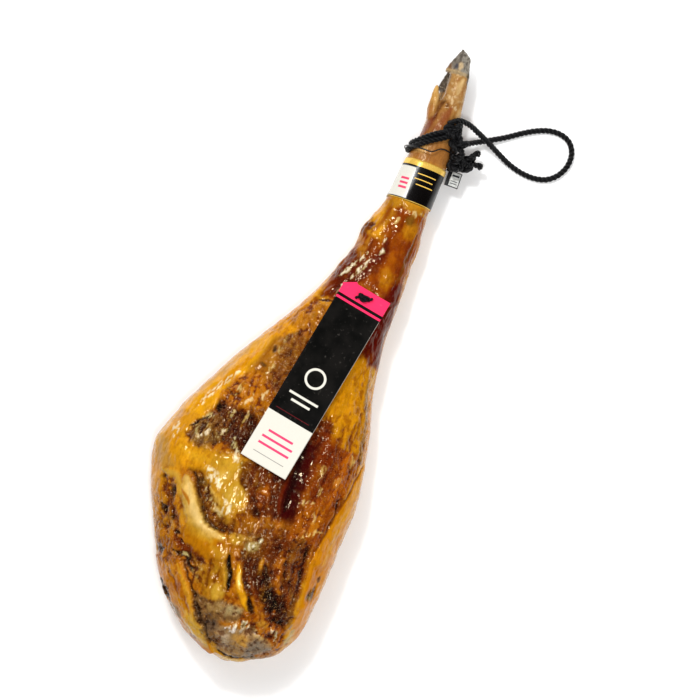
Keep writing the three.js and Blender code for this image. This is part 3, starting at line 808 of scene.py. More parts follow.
def paint_middle_muscles(s):
    """The muscles between the hip bone and the cleft."""
    s.paint(s.patch([(-72, 240), (-24, 246), (-20, 190), (-40, 180), (-58, 196)], 5, 4),
            (100, 44, 4), 0.95, 0, 0.6)
    s.paint(s.stroke([(-55, 224), (-52, 206), (-55, 192)], 6, 0.5, 0.4), (78, 34, 8), 0.9, -1)
    s.paint(s.blob(-47, 186, 9, 8, 0, 0.4), (72, 36, 8), 0.95, -1, 0.6)
    s.paint(s.blob(-43, 211, 8, 14, 0, 0.4), (178, 100, 16), 0.85, 0.8, 0.5)
    s.paint(s.blob(-30, 238, 16, 9, 0, 0.3), (70, 20, 4), 0.9)
    s.paint(s.patch([(-66, 170), (-56, 196), (-50, 176), (-30, 190), (-16, 176), (-14, 160), (-30, 146),
                     (-60, 140)], 5, 5),
            (152, 92, 18), 0.95, 0.4, 0.5)
    s.paint(s.blob(-62, 188, 5, 9, 0, 0.3), (218, 164, 62), 0.8, 0.4)
    s.paint(s.blob(-56, 150, 10, 8, 0, 0.3), (206, 158, 66), 0.8)
    s.paint(s.stroke([(-60, 157), (-44, 153), (-32, 160)], 4, 0.7, 0.6), (228, 178, 104), 0.7, 0.6)
    s.paint(s.patch([(-46, 160), (-24, 166), (-20, 138), (-44, 128)], 5, 4), (104, 66, 34), 0.85, -0.3, 0.9)
    s.paint(s.blob(-34, 148, 8, 9, -30, 0.6), (176, 156, 132), 0.8, 0.6, 0.9)
    # White flecks on the pale patch: painted highlights.
    s.paint(s.painted_glints([(-42, 140), (-33, 150), (-26, 158)], 8), (244, 236, 222), 0.85, 0.8, 0.9)


def paint_cleft(s):
    """The dark red cleft below the card."""
    s.paint(s.patch([(-24, 300), (6, 300), (7, 240), (8, 198), (0, 186), (-22, 188), (-26, 220)], 8, 3),
            (66, 12, 2), 1.0, -1.0, 0.15)
    s.paint(s.stroke([(-16, 290), (-14, 240), (-12, 200)], 9, 0.9), (30, 4, 1), 0.85, -0.6)
    s.paint(s.stroke([(-22, 240), (-22, 214), (-19, 194)], 4, 0.8), (116, 40, 6), 0.7)
    s.paint(s.stroke([(2, 280), (4, 240), (2, 205)], 5, 0.9), (104, 36, 6), 0.7)


def paint_right_muscles(s):
    """The muscles right of the cleft."""
    s.paint(s.patch([(6, 318), (52, 304), (50, 240), (44, 190), (40, 162), (0, 162), (6, 200)], 8, 5),
            (150, 76, 6), 0.95, 0, 0.6)
    s.paint(s.stroke([(6, 236), (14, 200), (12, 168)], 14, 0.9, 0.4), (166, 96, 14), 0.6)
    s.paint(s.stroke([(14, 296), (18, 250), (14, 222)], 15, 0.9, 0.4), (112, 46, 2), 0.8)
    # Pale flecks on the muscles: painted highlights.
    for line in ([(2, 216), (10, 220), (20, 222)], [(22, 212), (28, 194)], [(12, 270), (14, 256)],
                 [(36, 262), (38, 246)], [(20, 244), (22, 232)], [(44, 292), (46, 276)]):
        s.paint(s.painted_glints(line, 7), (232, 200, 156), 0.7, 0.6)
    s.paint(s.stroke([(42, 296), (38, 250), (33, 214)], 10, 0.8, 0.4), (188, 104, 16), 0.8)
    s.paint(s.stroke([(28, 220), (30, 200), (26, 184)], 12, 0.8, 0.5), (196, 118, 22), 0.7)
    s.paint(s.stroke([(45, 234), (49, 216), (45, 198)], 3, 0.5), (72, 36, 10), 0.9, -1.2)
    s.paint(s.blob(20, 166, 14, 13, -8, 0.6), (128, 80, 36), 0.8, -0.6, 0.9)
    s.paint(s.blob(32, 160, 3.5, 12, 0, 0.4), (34, 18, 8), 0.9, -1.4)
    s.paint(s.blob(-8, 160, 18, 20, 0, 0.5), (96, 42, 6), 0.85, 0, 0.7)
    s.paint(s.blob(12, 150, 12, 8, 0, 0.6), (166, 104, 40), 0.6, 0, 0.9)
    # More pale flecks: painted highlights.
    s.paint(s.painted_glints([(14, 176), (28, 185), (40, 190)], 7), (236, 196, 138), 0.8, 0.9)


def paint_right_fat(s):
    """The fat along the ham's right edge."""
    edge = [(38, 150), (42, 180), (48, 210), (53, 240), (58, 262), (61, 284)]
    s.paint(s.patch([*edge, (90, 284), (90, 150)], 2, 1.2), (208, 132, 16), 1.0, 0.7, 0.12)
    s.paint(s.stroke([(54, 154), (58, 200), (62, 244), (64, 282)], 8, 0.9), (220, 156, 44), 0.7)
    s.paint(s.stroke([(70, 150), (71, 200), (72, 240), (68, 280)], 8, 0.9, 0.1, False), (218, 172, 74), 0.7)
    s.paint(s.stroke(edge, 3, 0.6), (112, 56, 8), 0.8, -1)


def paint_upper_fat(s):
    """The fat along the left edge, beside the card."""
    s.paint(s.patch([(-190, 275), (-150, 275), (-140, 300), (-125, 330), (-113, 352), (-103, 374),
                     (-94, 398), (-88, 412), (-110, 430), (-205, 300)], 2.5),
            (228, 160, 28), 1.0, 0.6, 0.12)
    s.paint(s.stroke([(-176, 280), (-148, 330), (-120, 384), (-106, 408)], 7, 0.9), (204, 146, 62), 0.8)
    s.paint(s.stroke([(-160, 284), (-134, 332), (-110, 378)], 7, 0.9), (214, 138, 16), 0.8)
    # A white streak of flecks along the fat's ridge: painted highlight of its wet gloss.
    s.paint(s.painted_glints([(-156, 286), (-142, 316), (-124, 342)], 8), (252, 238, 204), 0.85, 0.8)


def paint_left_of_card(s):
    """The meat between that fat and the card."""
    s.paint(s.patch([(-140, 300), (-108, 300), (-84, 306), (-82, 342), (-100, 350), (-124, 334)], 3, 3),
            (188, 112, 16), 0.95, 0.6, 0.7)
    s.paint(s.stroke([(-120, 306), (-104, 304), (-86, 308)], 8, 0.7, 0.4), (206, 132, 20), 0.8, 0.8)
    s.paint(s.patch([(-134, 302), (-110, 300), (-80, 306), (-80, 276), (-130, 280)], 7, 6),
            (88, 42, 10), 0.9, -0.8, 0.9)
    s.paint(s.blob(-133, 293, 4.5, 9, 10, 0.3), (22, 14, 8), 0.98, -2.5)
    s.paint(s.stroke([(-128, 318), (-120, 312), (-112, 318)], 3.5, 0.6, 0.6), (90, 50, 12), 0.8, -0.8)
    s.paint(s.patch([(-114, 350), (-84, 346), (-84, 400), (-94, 416), (-104, 380)], 6, 3),
            (156, 98, 30), 0.9, 0, 0.15)
    # Pale flecks on this meat: painted highlights.
    for line in ([(-82, 404), (-86, 380)], [(-74, 412), (-78, 392)], [(-72, 380), (-76, 362)],
                 [(-88, 366), (-92, 352)], [(-66, 436), (-70, 420)], [(-112, 330), (-118, 312)],
                 [(-98, 322), (-102, 306)], [(-82, 332), (-86, 316)], [(-96, 300), (-100, 286)],
                 [(-112, 296), (-118, 284)]):
        s.paint(s.painted_glints(line, 7), (240, 216, 178), 0.75, 0.6)
    s.paint(s.stroke([(-92, 410), (-92, 386), (-90, 356)], 6, 0.9), (186, 126, 56), 0.7)
    s.paint(s.patch([(-88, 344), (-64, 330), (-56, 410), (-66, 426), (-84, 420)], 5, 3),
            (130, 78, 28), 0.9, -0.3, 1.0)
    s.paint(s.blob(-78, 346, 8, 15, 0, 0.4), (96, 40, 6), 0.85, -0.6)
    s.paint(s.blob(-92, 383, 3.5, 6, 0, 0.3), (54, 42, 38), 0.95, -1.2)
    s.paint(s.blob(-100, 360, 5, 2.5, 0, 0.4), (90, 70, 50), 0.8, -0.6)


def paint_right_of_card(s):
    """The fat and the meat right of the card."""
    s.paint(s.patch([(-8, 320), (8, 320), (20, 345), (30, 400), (22, 415), (4, 400)], 3),
            (212, 142, 14), 0.95, 0, 0.2)
    s.paint(s.patch([(-18, 290), (6, 290), (14, 322), (-4, 326)], 6, 4), (112, 48, 6), 0.95, -0.5, 0.6)
    s.paint(s.blob(12, 313, 6, 7, 0, 0.7), (56, 28, 10), 0.9, -1.5, 0.9)
    s.paint(s.patch([(10, 296), (50, 296), (42, 360), (32, 410), (14, 410), (6, 340)], 3),
            (206, 138, 18), 0.9, 0, 0.35)
    s.paint(s.patch([(4, 310), (24, 300), (22, 270), (2, 268)], 7, 5), (126, 52, 4), 0.8, 0, 0.6)
    for line in ([(33, 292), (34, 332)], [(24, 286), (23, 322)], [(40, 296), (37, 345)]):
        s.paint(s.stroke(line, 4, 1.0, 0.7), (128, 66, 8), 0.7, -0.8)
    s.paint(s.stroke([(30, 386), (34, 368), (42, 350), (48, 328), (52, 300), (57, 284)], 7, 0.6, 0.4),
            (152, 112, 74), 0.9, 0.8, 0.5)
    s.paint(s.stroke([(46, 350), (54, 320), (61, 288)], 6, 0.8), (206, 134, 36), 0.9)
    s.paint(s.stroke([(30, 404), (38, 378)], 6, 0.8), (212, 160, 70), 0.9)


def paint_shank_fold(s):
    """The pale fold where the ham narrows to the shank."""
    s.paint(s.patch([(-112, 396), (-90, 400), (-64, 424), (-56, 456), (-72, 466), (-95, 450)], 3),
            (220, 148, 30), 1.0, 0.4, 0.3)
    s.paint(s.patch([(-92, 424), (-58, 408), (-50, 452), (-66, 460)], 4, 3), (178, 108, 26), 0.85, 0, 0.7)
    # A dark line under the fold's edge: painted shadow.
    s.paint(s.stroke([(-62, 459), (-44, 464)], 3.5, 0.5), (48, 22, 8), 0.95, -1)


def paint_shank_glaze(s):
    """The shank's red-brown glaze, up to the band."""
    s.paint(s.patch([(-64, 463), (-40, 467), (-22, 500), (-10, 540), (-16, 556), (-40, 560),
                     (-60, 505)], 4),
            (136, 62, 18), 0.95, 0, 0.3)
    s.paint(s.patch([(-56, 468), (-36, 474), (-24, 506), (-26, 540), (-44, 532), (-56, 500)], 5, 3),
            (98, 30, 8), 0.9)
    s.paint(s.patch([(-26, 496), (30, 486), (34, 560), (30, 612), (-26, 612), (-14, 560)], 5, 3),
            (150, 74, 10), 0.95, 0, 0.2)
    s.paint(s.stroke([(-28, 496), (-14, 520), (-6, 540), (-6, 560)], 15, 0.8, 0.5), (92, 24, 4), 0.9)
    s.paint(s.blob(8, 512, 11, 14, 0, 0.4), (190, 122, 26), 0.8)
    s.paint(s.blob(4, 540, 8, 8, 0, 0.5), (172, 96, 18), 0.6)
    s.paint(s.blob(15, 580, 12, 15, 0, 0.4), (190, 126, 30), 0.75)
    s.paint(s.stroke([(20, 520), (24, 548), (20, 566)], 8, 1.0, 0.5), (118, 40, 4), 0.7)
    s.paint(s.stroke([(-20, 575), (-14, 596), (-18, 612)], 12, 0.9), (186, 124, 36), 0.8)
    s.paint(s.stroke([(-26, 606), (0, 610), (28, 604)], 9, 0.9), (196, 140, 48), 0.7)
    s.paint(s.stroke([(-4, 560), (2, 584), (-4, 606)], 8, 0.9, 0.5), (138, 62, 8), 0.8)
    s.paint(s.stroke([(20, 498), (24, 540), (26, 578)], 4, 0.8), (116, 76, 46), 0.8, -0.8)


def paint_shank_marks(s):
    """The dark hollow, the scar, and the shine on the shank as painted highlights."""
    s.paint(s.patch([(10, 416), (24, 404), (40, 402), (40, 440), (35, 480), (30, 514), (18, 514),
                     (12, 480)], 5, 3),
            (98, 22, 2), 1.0, 0, 0.15)
    s.paint(s.blob(24, 412, 5, 9, 0, 0.5), (150, 84, 40), 0.5)
    s.paint(s.stroke([(38, 404), (36, 450), (33, 500), (34, 560)], 4, 0.9), (178, 112, 44), 0.7)
    s.paint(s.blob(-38, 566, 7, 14, -20, 0.5), (96, 40, 26), 0.9, 1, 0.5)
    s.paint(s.stroke([(-49, 557), (-43, 567)], 4, 0.5), (30, 16, 12), 0.95, 1)
    s.paint(s.stroke([(-30, 562), (-22, 580), (-16, 600)], 7, 0.9), (146, 74, 26), 0.8)
    s.paint(s.blob(12, 592, 8, 8, 0, 0.5), (112, 84, 40), 0.8)
    s.paint(s.stroke([(-44, 560), (-33, 530), (-30, 556)], 8, 0.9), (188, 124, 44), 0.7)
    # White flecks and streaks: painted highlights of the shank's shine.
    s.paint(s.painted_glints([(6, 602), (14, 602), (22, 604)], 7), (246, 226, 190), 0.6, 0.6)
    s.paint(s.painted_glints([(-6, 580), (-2, 592)], 3.5), (246, 222, 180), 0.55, 0.5)
    painted_highlight_streaks = [[(-52, 496), (-40, 510), (-31, 526), (-22, 542)], [(-36, 498), (-28, 510), (-20, 528)],
               [(-13, 550), (-9, 568)], [(-10, 538), (-7, 550)], [(-46, 474), (-42, 492)]]
    for line in painted_highlight_streaks:
        s.paint(s.painted_glints(line, 4.5), (255, 246, 232), 0.8, 0.6)


def paint_foot_skin(s, above, mottle):
    """The trotter's golden skin and the red-brown hollows between its bones."""
    s.paint(above, (154, 106, 50), 1.0, 0, 0.3, 0.45)
    s.paint(above * smoothstep(0.0, 0.8, mottle), (146, 90, 40), 0.8)
    s.paint(above * smoothstep(0.2, 0.9, -mottle), (194, 150, 90), 0.7)
    s.paint(above * smoothstep(720, 690, s.along), (158, 98, 44), 0.6)
    s.paint(s.blob(-8, 684, 10, 8, 0, 0.4), (216, 168, 96), 0.6)
    s.paint(s.stroke([(-13, 700), (-8, 716), (-3, 732)], 9, 0.8), (112, 44, 22), 0.9)
    s.paint(s.stroke([(0, 706), (8, 728), (12, 744)], 10, 0.8), (128, 62, 30), 0.85)
    s.paint(s.stroke([(-16, 716), (-14, 730), (-12, 742)], 6, 0.9), (168, 104, 48), 0.7)
    s.paint(s.stroke([(-5, 724), (-2, 742), (-1, 752)], 5, 0.7), (90, 44, 18), 0.8, -0.6)
    s.paint(s.blob(-1, 750, 4, 5, 0, 0.4), (86, 48, 20), 0.9, -0.8)
    s.paint(s.blob(6, 746, 3.5, 4.5, 0, 0.4), (100, 56, 22), 0.85, -0.6)
    s.paint(s.blob(24, 742, 4, 10), (220, 180, 116), 0.7)


def paint_toe(s):
    """The toe's dry, blotched skin up to the hoof."""
    toe = smoothstep(748, 758, s.along) * smoothstep(796, 790, s.along)
    toe = toe * smoothstep(-9, -3, s.across) * s.up
    s.paint(toe, (168, 126, 72), 0.8)
    s.paint(toe * smoothstep(0.1, 0.6, fractal(s.points, 7, 74, 3)), (150, 98, 48), 0.85, -0.3)
    s.paint(toe * smoothstep(0.1, 0.7, -fractal(s.points, 6, 77, 3)), (218, 188, 140), 0.65, 0.3)
    s.paint(s.stroke([(-8, 756), (-5, 780), (-6, 790)], 6, 0.7), (96, 80, 62), 0.85)
    s.paint(s.stroke([(12, 764), (14, 784)], 6, 0.9), (224, 190, 130), 0.6)
    # Pale flecks on the toe: painted highlights.
    s.paint(s.painted_glints([(2, 760), (10, 752), (18, 746)], 8), (232, 206, 160), 0.5, 0.3)
    # A near-black mark at the toe's right, under the hoof's corner: painted shadow of the overhanging hoof.
    s.paint(s.stroke([(20, 791), (21, 786), (22, 778)], 5, 0.5), (24, 20, 18), 0.95)


def paint_dewclaws(s):
    """The two dewclaws on the foot's left, one above the other."""
    across, along, height = s.across, s.along, s.height
    upper = smoothstep(-6, -10, across) * smoothstep(738, 750, along) * smoothstep(33, 36, height)
    upper *= smoothstep(772, 770, along)
    lower = smoothstep(-5, -9, across) * smoothstep(734, 744, along) * smoothstep(30, 27, height)
    lower *= smoothstep(766, 762, along)
    s.paint(np.maximum(upper, lower), (186, 136, 66), 0.9)
    s.paint(upper * smoothstep(752, 764, along), (208, 164, 96), 0.8)
    s.paint(upper * smoothstep(-12, -8, across), (214, 178, 118), 0.7)


def paint_hooves(s):
    """The grey, grained horn of both hooves, with painted light and shade on its facets. Gives where it is.
    """
    across, along, height = s.across, s.along, s.height
    uneven = along + 2.0 * s.fuzzy
    upper = smoothstep(787.5, 790.0, uneven) * smoothstep(29, 31, height)
    lower = smoothstep(765, 769, uneven) * smoothstep(31, 29, height)
    lower *= smoothstep(-20, -12, across + 0.01 * along)
    hoof = np.maximum(upper, lower)
    grain = fractal(s.points * [1.0, 0.2, 1.0], 2.4, 80, 3)
    patchy = fractal(s.points, 6, 84, 3)
    s.paint(hoof, (112, 104, 94), 1.0, 0, 0.2, 0.7)
    # The lower hoof is darker: its own dark horn, with painted shade from lying beside the toe.
    s.paint(lower, (70, 58, 48), 0.85)
    # The upper hoof's right facet is lighter: painted light on that facet.
    s.paint(upper * smoothstep(2, 6, across + 0.2 * (along - 800)), (146, 140, 128), 0.9)
    s.paint(hoof * smoothstep(0.0, 0.5, grain), (70, 62, 54), 0.8)
    s.paint(hoof * smoothstep(0.3, 0.9, -grain), (178, 166, 148), 0.7)
    s.paint(hoof * smoothstep(0.2, 0.7, patchy), (58, 50, 44), 0.75)
    s.paint(upper * smoothstep(-5, -10, across + 0.35 * (along - 800)), (116, 74, 34), 0.8)
    s.paint(upper * s.stroke([(0, 822), (2, 812), (3, 804)], 3, 0.6), (70, 62, 56), 0.8)
    s.paint(upper * s.blob(5, 799, 3.5, 6, 0, 0.4), (206, 178, 134), 0.85)
    s.paint(upper * s.blob(0, 798, 3, 4, 0, 0.4), (44, 46, 62), 0.8)
    s.paint(upper * smoothstep(794.5, 791, along), (186, 158, 112), 0.7)
    # Near-black at the hoof's lower right corner: painted shadow under its overhanging edge.
    s.paint(upper * smoothstep(14, 18, across) * smoothstep(798, 790, along), (30, 26, 24), 0.9)
    s.relief += hoof * (0.7 * grain + 0.8 * patchy)
    return hoof


def paint_foot(s):
    """Everything above the band."""
    above = smoothstep(664, 674, s.along)
    mottle = fractal(s.points * [1, 0.4, 1], 10, 70, 3)
    paint_foot_skin(s, above, mottle)
    paint_toe(s)
    paint_dewclaws(s)
    hoof = paint_hooves(s)
    s.colour *= (1 - 0.16 * np.maximum(hoof, above * s.up))[:, None]
    s.relief += above * (1 - hoof) * (0.5 * mottle + 0.35 * fractal(s.points, 4.5, 95, 2))


# The middles of the card's two short edges, on its underside.
CARD_FOOT = np.array([-55.5, 242, 118.6])
CARD_HEAD = np.array([-8, 490.5, 79])
CARD_WIDTH, CARD_LENGTH, CARD_THICKNESS = 63, 256, 0.8
CARD_HOLE_RADIUS, CARD_HOLE_INSET = 3, 12


def card_axes():
    lengthways = unit(CARD_HEAD - CARD_FOOT)
    widthways = unit(np.array([lengthways[1], -lengthways[0], 0]))
    return widthways, lengthways, np.cross(widthways, lengthways)


def under_card(points):
    """How far each point is above the card's underside, and where it is under the card."""
    widthways, lengthways, upwards = card_axes()
    rel = points - CARD_FOOT
    u, v, w = rel @ widthways, rel @ lengthways, rel @ upwards
    beside = np.maximum(np.abs(u) - CARD_WIDTH / 2, np.maximum(-v, v - CARD_LENGTH))
    return w, smoothstep(5, 1, beside)


def shape_ham(s):
    """Lumps, wrinkles and fibres, by region, on top of what the brushes raised, with painted shade in their
    hollows and creases and painted light on their bumps.
    """
    p = s.points
    body = smoothstep(600, 470, s.along)
    shank = smoothstep(470, 560, s.along) * smoothstep(664, 640, s.along)
    cut = s.up * body
    coarse = s.up * s.rough * smoothstep(664, 640, s.along)
    lumps = fractal(p, 46, 100, 3)
    mid = fractal(p, 17, 110, 2)
    fibres = fractal(p * [1.0, 0.3, 1.0], 7, 120, 2)
    small = fractal(p, 5.5, 130, 2)
    tiny = fractal(p, 3.4, 135, 2)
    crease = smoothstep(0.86, 1.0, 1 - np.abs(fractal(p * [1, 0.4, 1], 18, 140, 3)))
    s.relief += cut * (2.2 * lumps + 1.0 * mid - 0.8)
    s.relief += coarse * (1.8 * mid + 1.6 * fibres + 1.3 * small + 0.7 * tiny - 1.6 * crease)
    s.relief += shank * (0.8 * mid + 0.5 * fibres)
    s.relief += (1 - s.up) * body * (0.9 * lumps + 0.4 * mid + 0.1 * small)
    # fat is the height of the fine relief here, not fat in the meat; the colour follows it as painted light
    # and shade.
    fat = 0.5 * mid + 0.7 * fibres + 0.7 * small
    hollow = smoothstep(0.1, 0.6, -fat) * np.clip(coarse * 1.3, 0, 1)
    painted_light_on_bumps = smoothstep(0.25, 0.8, fat) * np.clip(coarse * 1.3, 0, 1)
    # Darker where the relief is low and in its creases: painted shade. Lighter where it is high: painted
    # light.
    s.colour *= (1 - 0.80 * hollow)[:, None] ** np.array([0.85, 1.2, 1.4])
    s.colour *= (1 - 0.40 * crease * np.clip(coarse * 1.2, 0, 1))[:, None] ** np.array([0.9, 1.2, 1.4])
    s.colour += (srgb(212, 152, 66) - s.colour) * (0.24 * painted_light_on_bumps)[:, None]
    streak = fractal(p * [1.0, 0.14, 1.0], 7, 150, 3) * s.up
    s.colour *= (1 + (0.09 + 0.36 * s.rough) * streak)[:, None]
    speck = smoothstep(0.5, 0.9, s.fine) * coarse
    s.colour *= (1 - 0.6 * speck)[:, None]
    s.colour *= (1 + 0.08 * s.fuzzy)[:, None]
    pale = smoothstep(0.25, 0.6, s.colour[:, 1])
    s.colour[:, 2] *= np.minimum(0.40 + 0.34 * pale + 0.5 * s.dry, 0.95)
    deep = smoothstep(0.17, 0.03, s.colour[:, 1]) * (1 - s.dry)
    s.colour *= 1 - deep[:, None] * np.array([0.15, 0.38, 0.5])
    s.colour *= np.array([0.76, 0.74, 0.82])
    s.colour = np.clip(s.colour, 0.0015, 0.95)


MEAT_PAINTERS = [
    paint_ground, paint_flap, paint_hollow_by_flap, paint_lean_by_flap, paint_butt_muscles,
    paint_butt_fat, paint_butt_edge, paint_butt_mould, paint_left_fat, paint_hip_rim,
    paint_hip_trench, paint_hip_boss, paint_dry_meat, paint_middle_muscles, paint_cleft,
    paint_right_muscles, paint_right_fat, paint_upper_fat, paint_left_of_card, paint_right_of_card,
    paint_shank_fold, paint_shank_glaze, paint_shank_marks,
]

# How far the skin may go in, and out on the flanks, where the leg is at its full width.
DEEPEST_HOLLOW, PROUDEST_FLANK = -9, 0.6
# Lumps above the first height are pressed into the headroom between it and the ham's full 120 mm.
HAM_TOP, HAM_HEADROOM = 117.4, 2.5


def moved_skin(s, normals):
    """The points moved out or in by the relief, and held down where something lies on them."""
    fitted = smoothstep(604, 612, s.along) * smoothstep(680, 672, s.along)
    roped = smoothstep(672, 680, s.along) * smoothstep(742, 736, s.along)
    relief = s.relief * (1 - fitted) * (1 - 0.75 * roped)
    relief = np.clip(relief, DEEPEST_HOLLOW, 1.6 + 2.0 * s.up)
    on_flank = smoothstep(0.4, 0.0, s.up) > 0.5
    relief = np.where(on_flank, np.minimum(relief, PROUDEST_FLANK), relief)
    moved = s.points + normals * relief[:, None]
    over, under = under_card(moved)
    moved[:, 2] -= np.clip(over + 0.4, 0, None) * under
    too_high = np.maximum(moved[:, 2] - HAM_TOP, 0)
    moved[:, 2] += HAM_HEADROOM * (1 - np.exp(-too_high / HAM_HEADROOM)) - too_high
    moved[:, 2] = np.maximum(moved[:, 2], 0.05)
    return moved


def make_ham():
    """The whole leg as one piece, painted and shaped point by point."""
    mesh = ham_base_mesh()
    points = (vertex_array(mesh) - ORIGIN) / MM
    normals = vertex_array(mesh, "normal")
    s = Surface(points, normals)
    for paint in MEAT_PAINTERS:
        paint(s)
    shape_ham(s)
    paint_foot(s)
    mesh.vertices.foreach_set("co", to_frame(moved_skin(s, normals)).ravel())
    add_attribute(mesh, "flesh", s.colour)
    add_attribute(mesh, "dry", s.dry)
    add_attribute(mesh, "coarse", s.rough * s.up)
    mesh.polygons.foreach_set("use_smooth", [True] * len(mesh.polygons))
    mesh.materials.clear()
    mesh.materials.append(ham_material())
    mesh.update()
    declare(bpy.data.objects.new("ham_flesh", mesh), ["ham"])


def ham_material():
    m = Nodes("cured_flesh")
    where = m.position()
    coarse = m.attribute("coarse")
    dry = m.attribute("dry")
    grain = m.noise(m.position((1.0, 0.3, 1.0)), 420, 4)
    grit = m.noise(where, 700, 3)
    oil = m.noise(where, 90, 2)
    base = m.mix(m.ramp(grain, 0.45, 0.75, 0.0, 0.22), m.attribute("flesh", "Vector"),
                 colour(110, 50, 10), "MULTIPLY")
    light_grit = m.math("MULTIPLY", m.ramp(grit, 0.58, 0.72, 0.0, 0.4), coarse)
    base = m.mix(light_grit, base, colour(226, 184, 120))
    dark_grit = m.math("MULTIPLY", m.ramp(grit, 0.42, 0.30, 0.0, 0.6), m.ramp(coarse, 0, 1, 0.15, 1.0))
    base = m.mix(dark_grit, base, colour(34, 14, 4))
    m.set(Base_Color=base)
    wet = m.ramp(oil, 0.35, 0.65, 0.08, 0.18)
    m.set(Roughness=m.math("ADD", wet, m.math("MULTIPLY", dry, 0.3)))
    m.set(Specular_IOR_Level=0.32, Specular_Tint=(1.0, 0.84, 0.58, 1.0))
    along_fibres = m.position((1.0, 0.55, 1.0))
    ripples = m.bump(m.noise(along_fibres, 150, 1.2), 0.0036, m.ramp(coarse, 0, 1, 0.3, 0.9))
    m.set(Normal=m.bump(m.noise(where, 400, 1), 0.0002, m.ramp(coarse, 0, 1, 0.1, 0.6), ripples))
    return m.material


# ------------------------------------------------------------------ rope

# The lay is the length in which a strand goes once round. The strands bulge a little past a round rope.
ROPE_DIAMETER = 7.0
ROPE_LAY = 17.0
STRAND_BULGE = 1.1
HAIR_LENGTH = 3


def smooth_path(points, spacing=1.1):
    """The CAD curve through the points (centripetal Catmull-Rom), evenly spaced, in millimetres."""
    p = np.asarray(points, float)
    p = np.vstack([2 * p[0] - p[1], p, 2 * p[-1] - p[-2]])
    t = np.linspace(0, 1, 24, endpoint=False)[:, None]
    fine = []
    for p0, p1, p2, p3 in zip(p, p[1:], p[2:], p[3:]):
        d0, d1, d2 = (math.sqrt(np.linalg.norm(b - a)) for a, b in ((p0, p1), (p1, p2), (p2, p3)))
        m1 = (p2 - p1) + d1 * ((p1 - p0) / d0 - (p2 - p0) / (d0 + d1))
        m2 = (p2 - p1) + d1 * ((p3 - p2) / d2 - (p3 - p1) / (d1 + d2))
        blend = t * t * (3 - 2 * t)
        fine.append(p1 + (p2 - p1) * blend + t * (1 - t) ** 2 * m1 - t * t * (1 - t) * m2)
    fine.append(p[-2][None])
    return evenly_spaced(np.vstack(fine), spacing)


def evenly_spaced(points, spacing):
    reach = lengths_to(points)
    wanted = np.linspace(0, reach[-1], max(int(round(reach[-1] / spacing)), 4) + 1)
    return np.stack([np.interp(wanted, reach, points[:, k]) for k in range(3)], axis=1)


def headings(path):
    """The direction ahead at each point of the path."""
    ahead = np.gradient(path, axis=0)
    return ahead / np.linalg.norm(ahead, axis=1)[:, None]


def directions_across(path):
    """Two directions across the path at each point, turned as little as possible."""
    ahead = headings(path)
    not_along_any_rope = [0.31, 0.2, 0.93]
    side = np.cross(ahead[0], not_along_any_rope)
    sides = []
    for direction in ahead:
        side = unit(side - direction * side.dot(direction))
        sides.append(side)
    sides = np.array(sides)
    return sides, np.cross(ahead, sides)


def tube_mesh(path, radii, sides=8):
    """A closed tube along the path. radii is one number or one for each point."""
    side, over = directions_across(path)
    radii = np.broadcast_to(radii, len(path))
    angle = np.linspace(0, 2 * math.pi, sides, endpoint=False)
    ring = np.cos(angle)[None, :, None] * side[:, None] + np.sin(angle)[None, :, None] * over[:, None]
    vertices = (path[:, None] + ring * radii[:, None, None]).reshape(-1, 3)
    faces = []
    for row in range(len(path) - 1):
        for k in range(sides):
            a, b = row * sides + k, row * sides + (k + 1) % sides
            faces.append((a, b, b + sides, a + sides))
    last = (len(path) - 1) * sides
    faces.append(tuple(reversed(range(sides))))
    faces.append(tuple(range(last, last + sides)))
    return vertices, faces


def merged(parts):
    """Several parts, each its vertices and faces, as one."""
    vertices, faces, start = [], [], 0
    for part_vertices, part_faces in parts:
        vertices.append(part_vertices)
        faces += [tuple(i + start for i in face) for face in part_faces]
        start += len(part_vertices)
    return np.vstack(vertices), faces


def laid_rope(path, diameter=ROPE_DIAMETER, lay=ROPE_LAY, sides=8, spread=None):
    """Three strands that wind round the path. spread opens them, one number for each point."""
    strand_radius = diameter * STRAND_BULGE * 0.235
    offset = strand_radius * 1.12
    side, over = directions_across(path)
    reach = lengths_to(path)
    spread = np.ones(len(path)) if spread is None else spread
    parts = []
    for strand in range(3):
        turn = 2 * math.pi * (strand / 3 + reach / lay)
        out = side * np.cos(turn)[:, None] + over * np.sin(turn)[:, None]
        radii = np.full(len(path), strand_radius)
        radii[[0, -1]] *= 0.7
        parts.append(tube_mesh(path + out * (offset * spread)[:, None], radii, sides))
    return merged(parts)


def loose_fibres(path, count, reach, seed):
    """Short hairs that stand off a rope."""
    rng = random.Random(seed)
    side, over = directions_across(path)
    ahead = headings(path)
    parts = []
    for _ in range(count):
        i = rng.randrange(1, len(path) - 1)
        a = rng.uniform(0, 2 * math.pi)
        out = side[i] * math.cos(a) + over[i] * math.sin(a)
        start = path[i] + out * ROPE_DIAMETER * 0.4
        length = rng.uniform(0.5, 1) * reach
        lean = ahead[i] * rng.uniform(-1, 1) * length
        middle = start + out * length * 0.45 + lean * 0.5
        end = start + out * length * 0.6 + lean
        parts.append(tube_mesh(np.array([start, middle, end]), 0.16, 3))
    return parts


def hairy_rope(path, hairs, seed):
    return [laid_rope(path), *loose_fibres(path, hairs, HAIR_LENGTH, seed)]


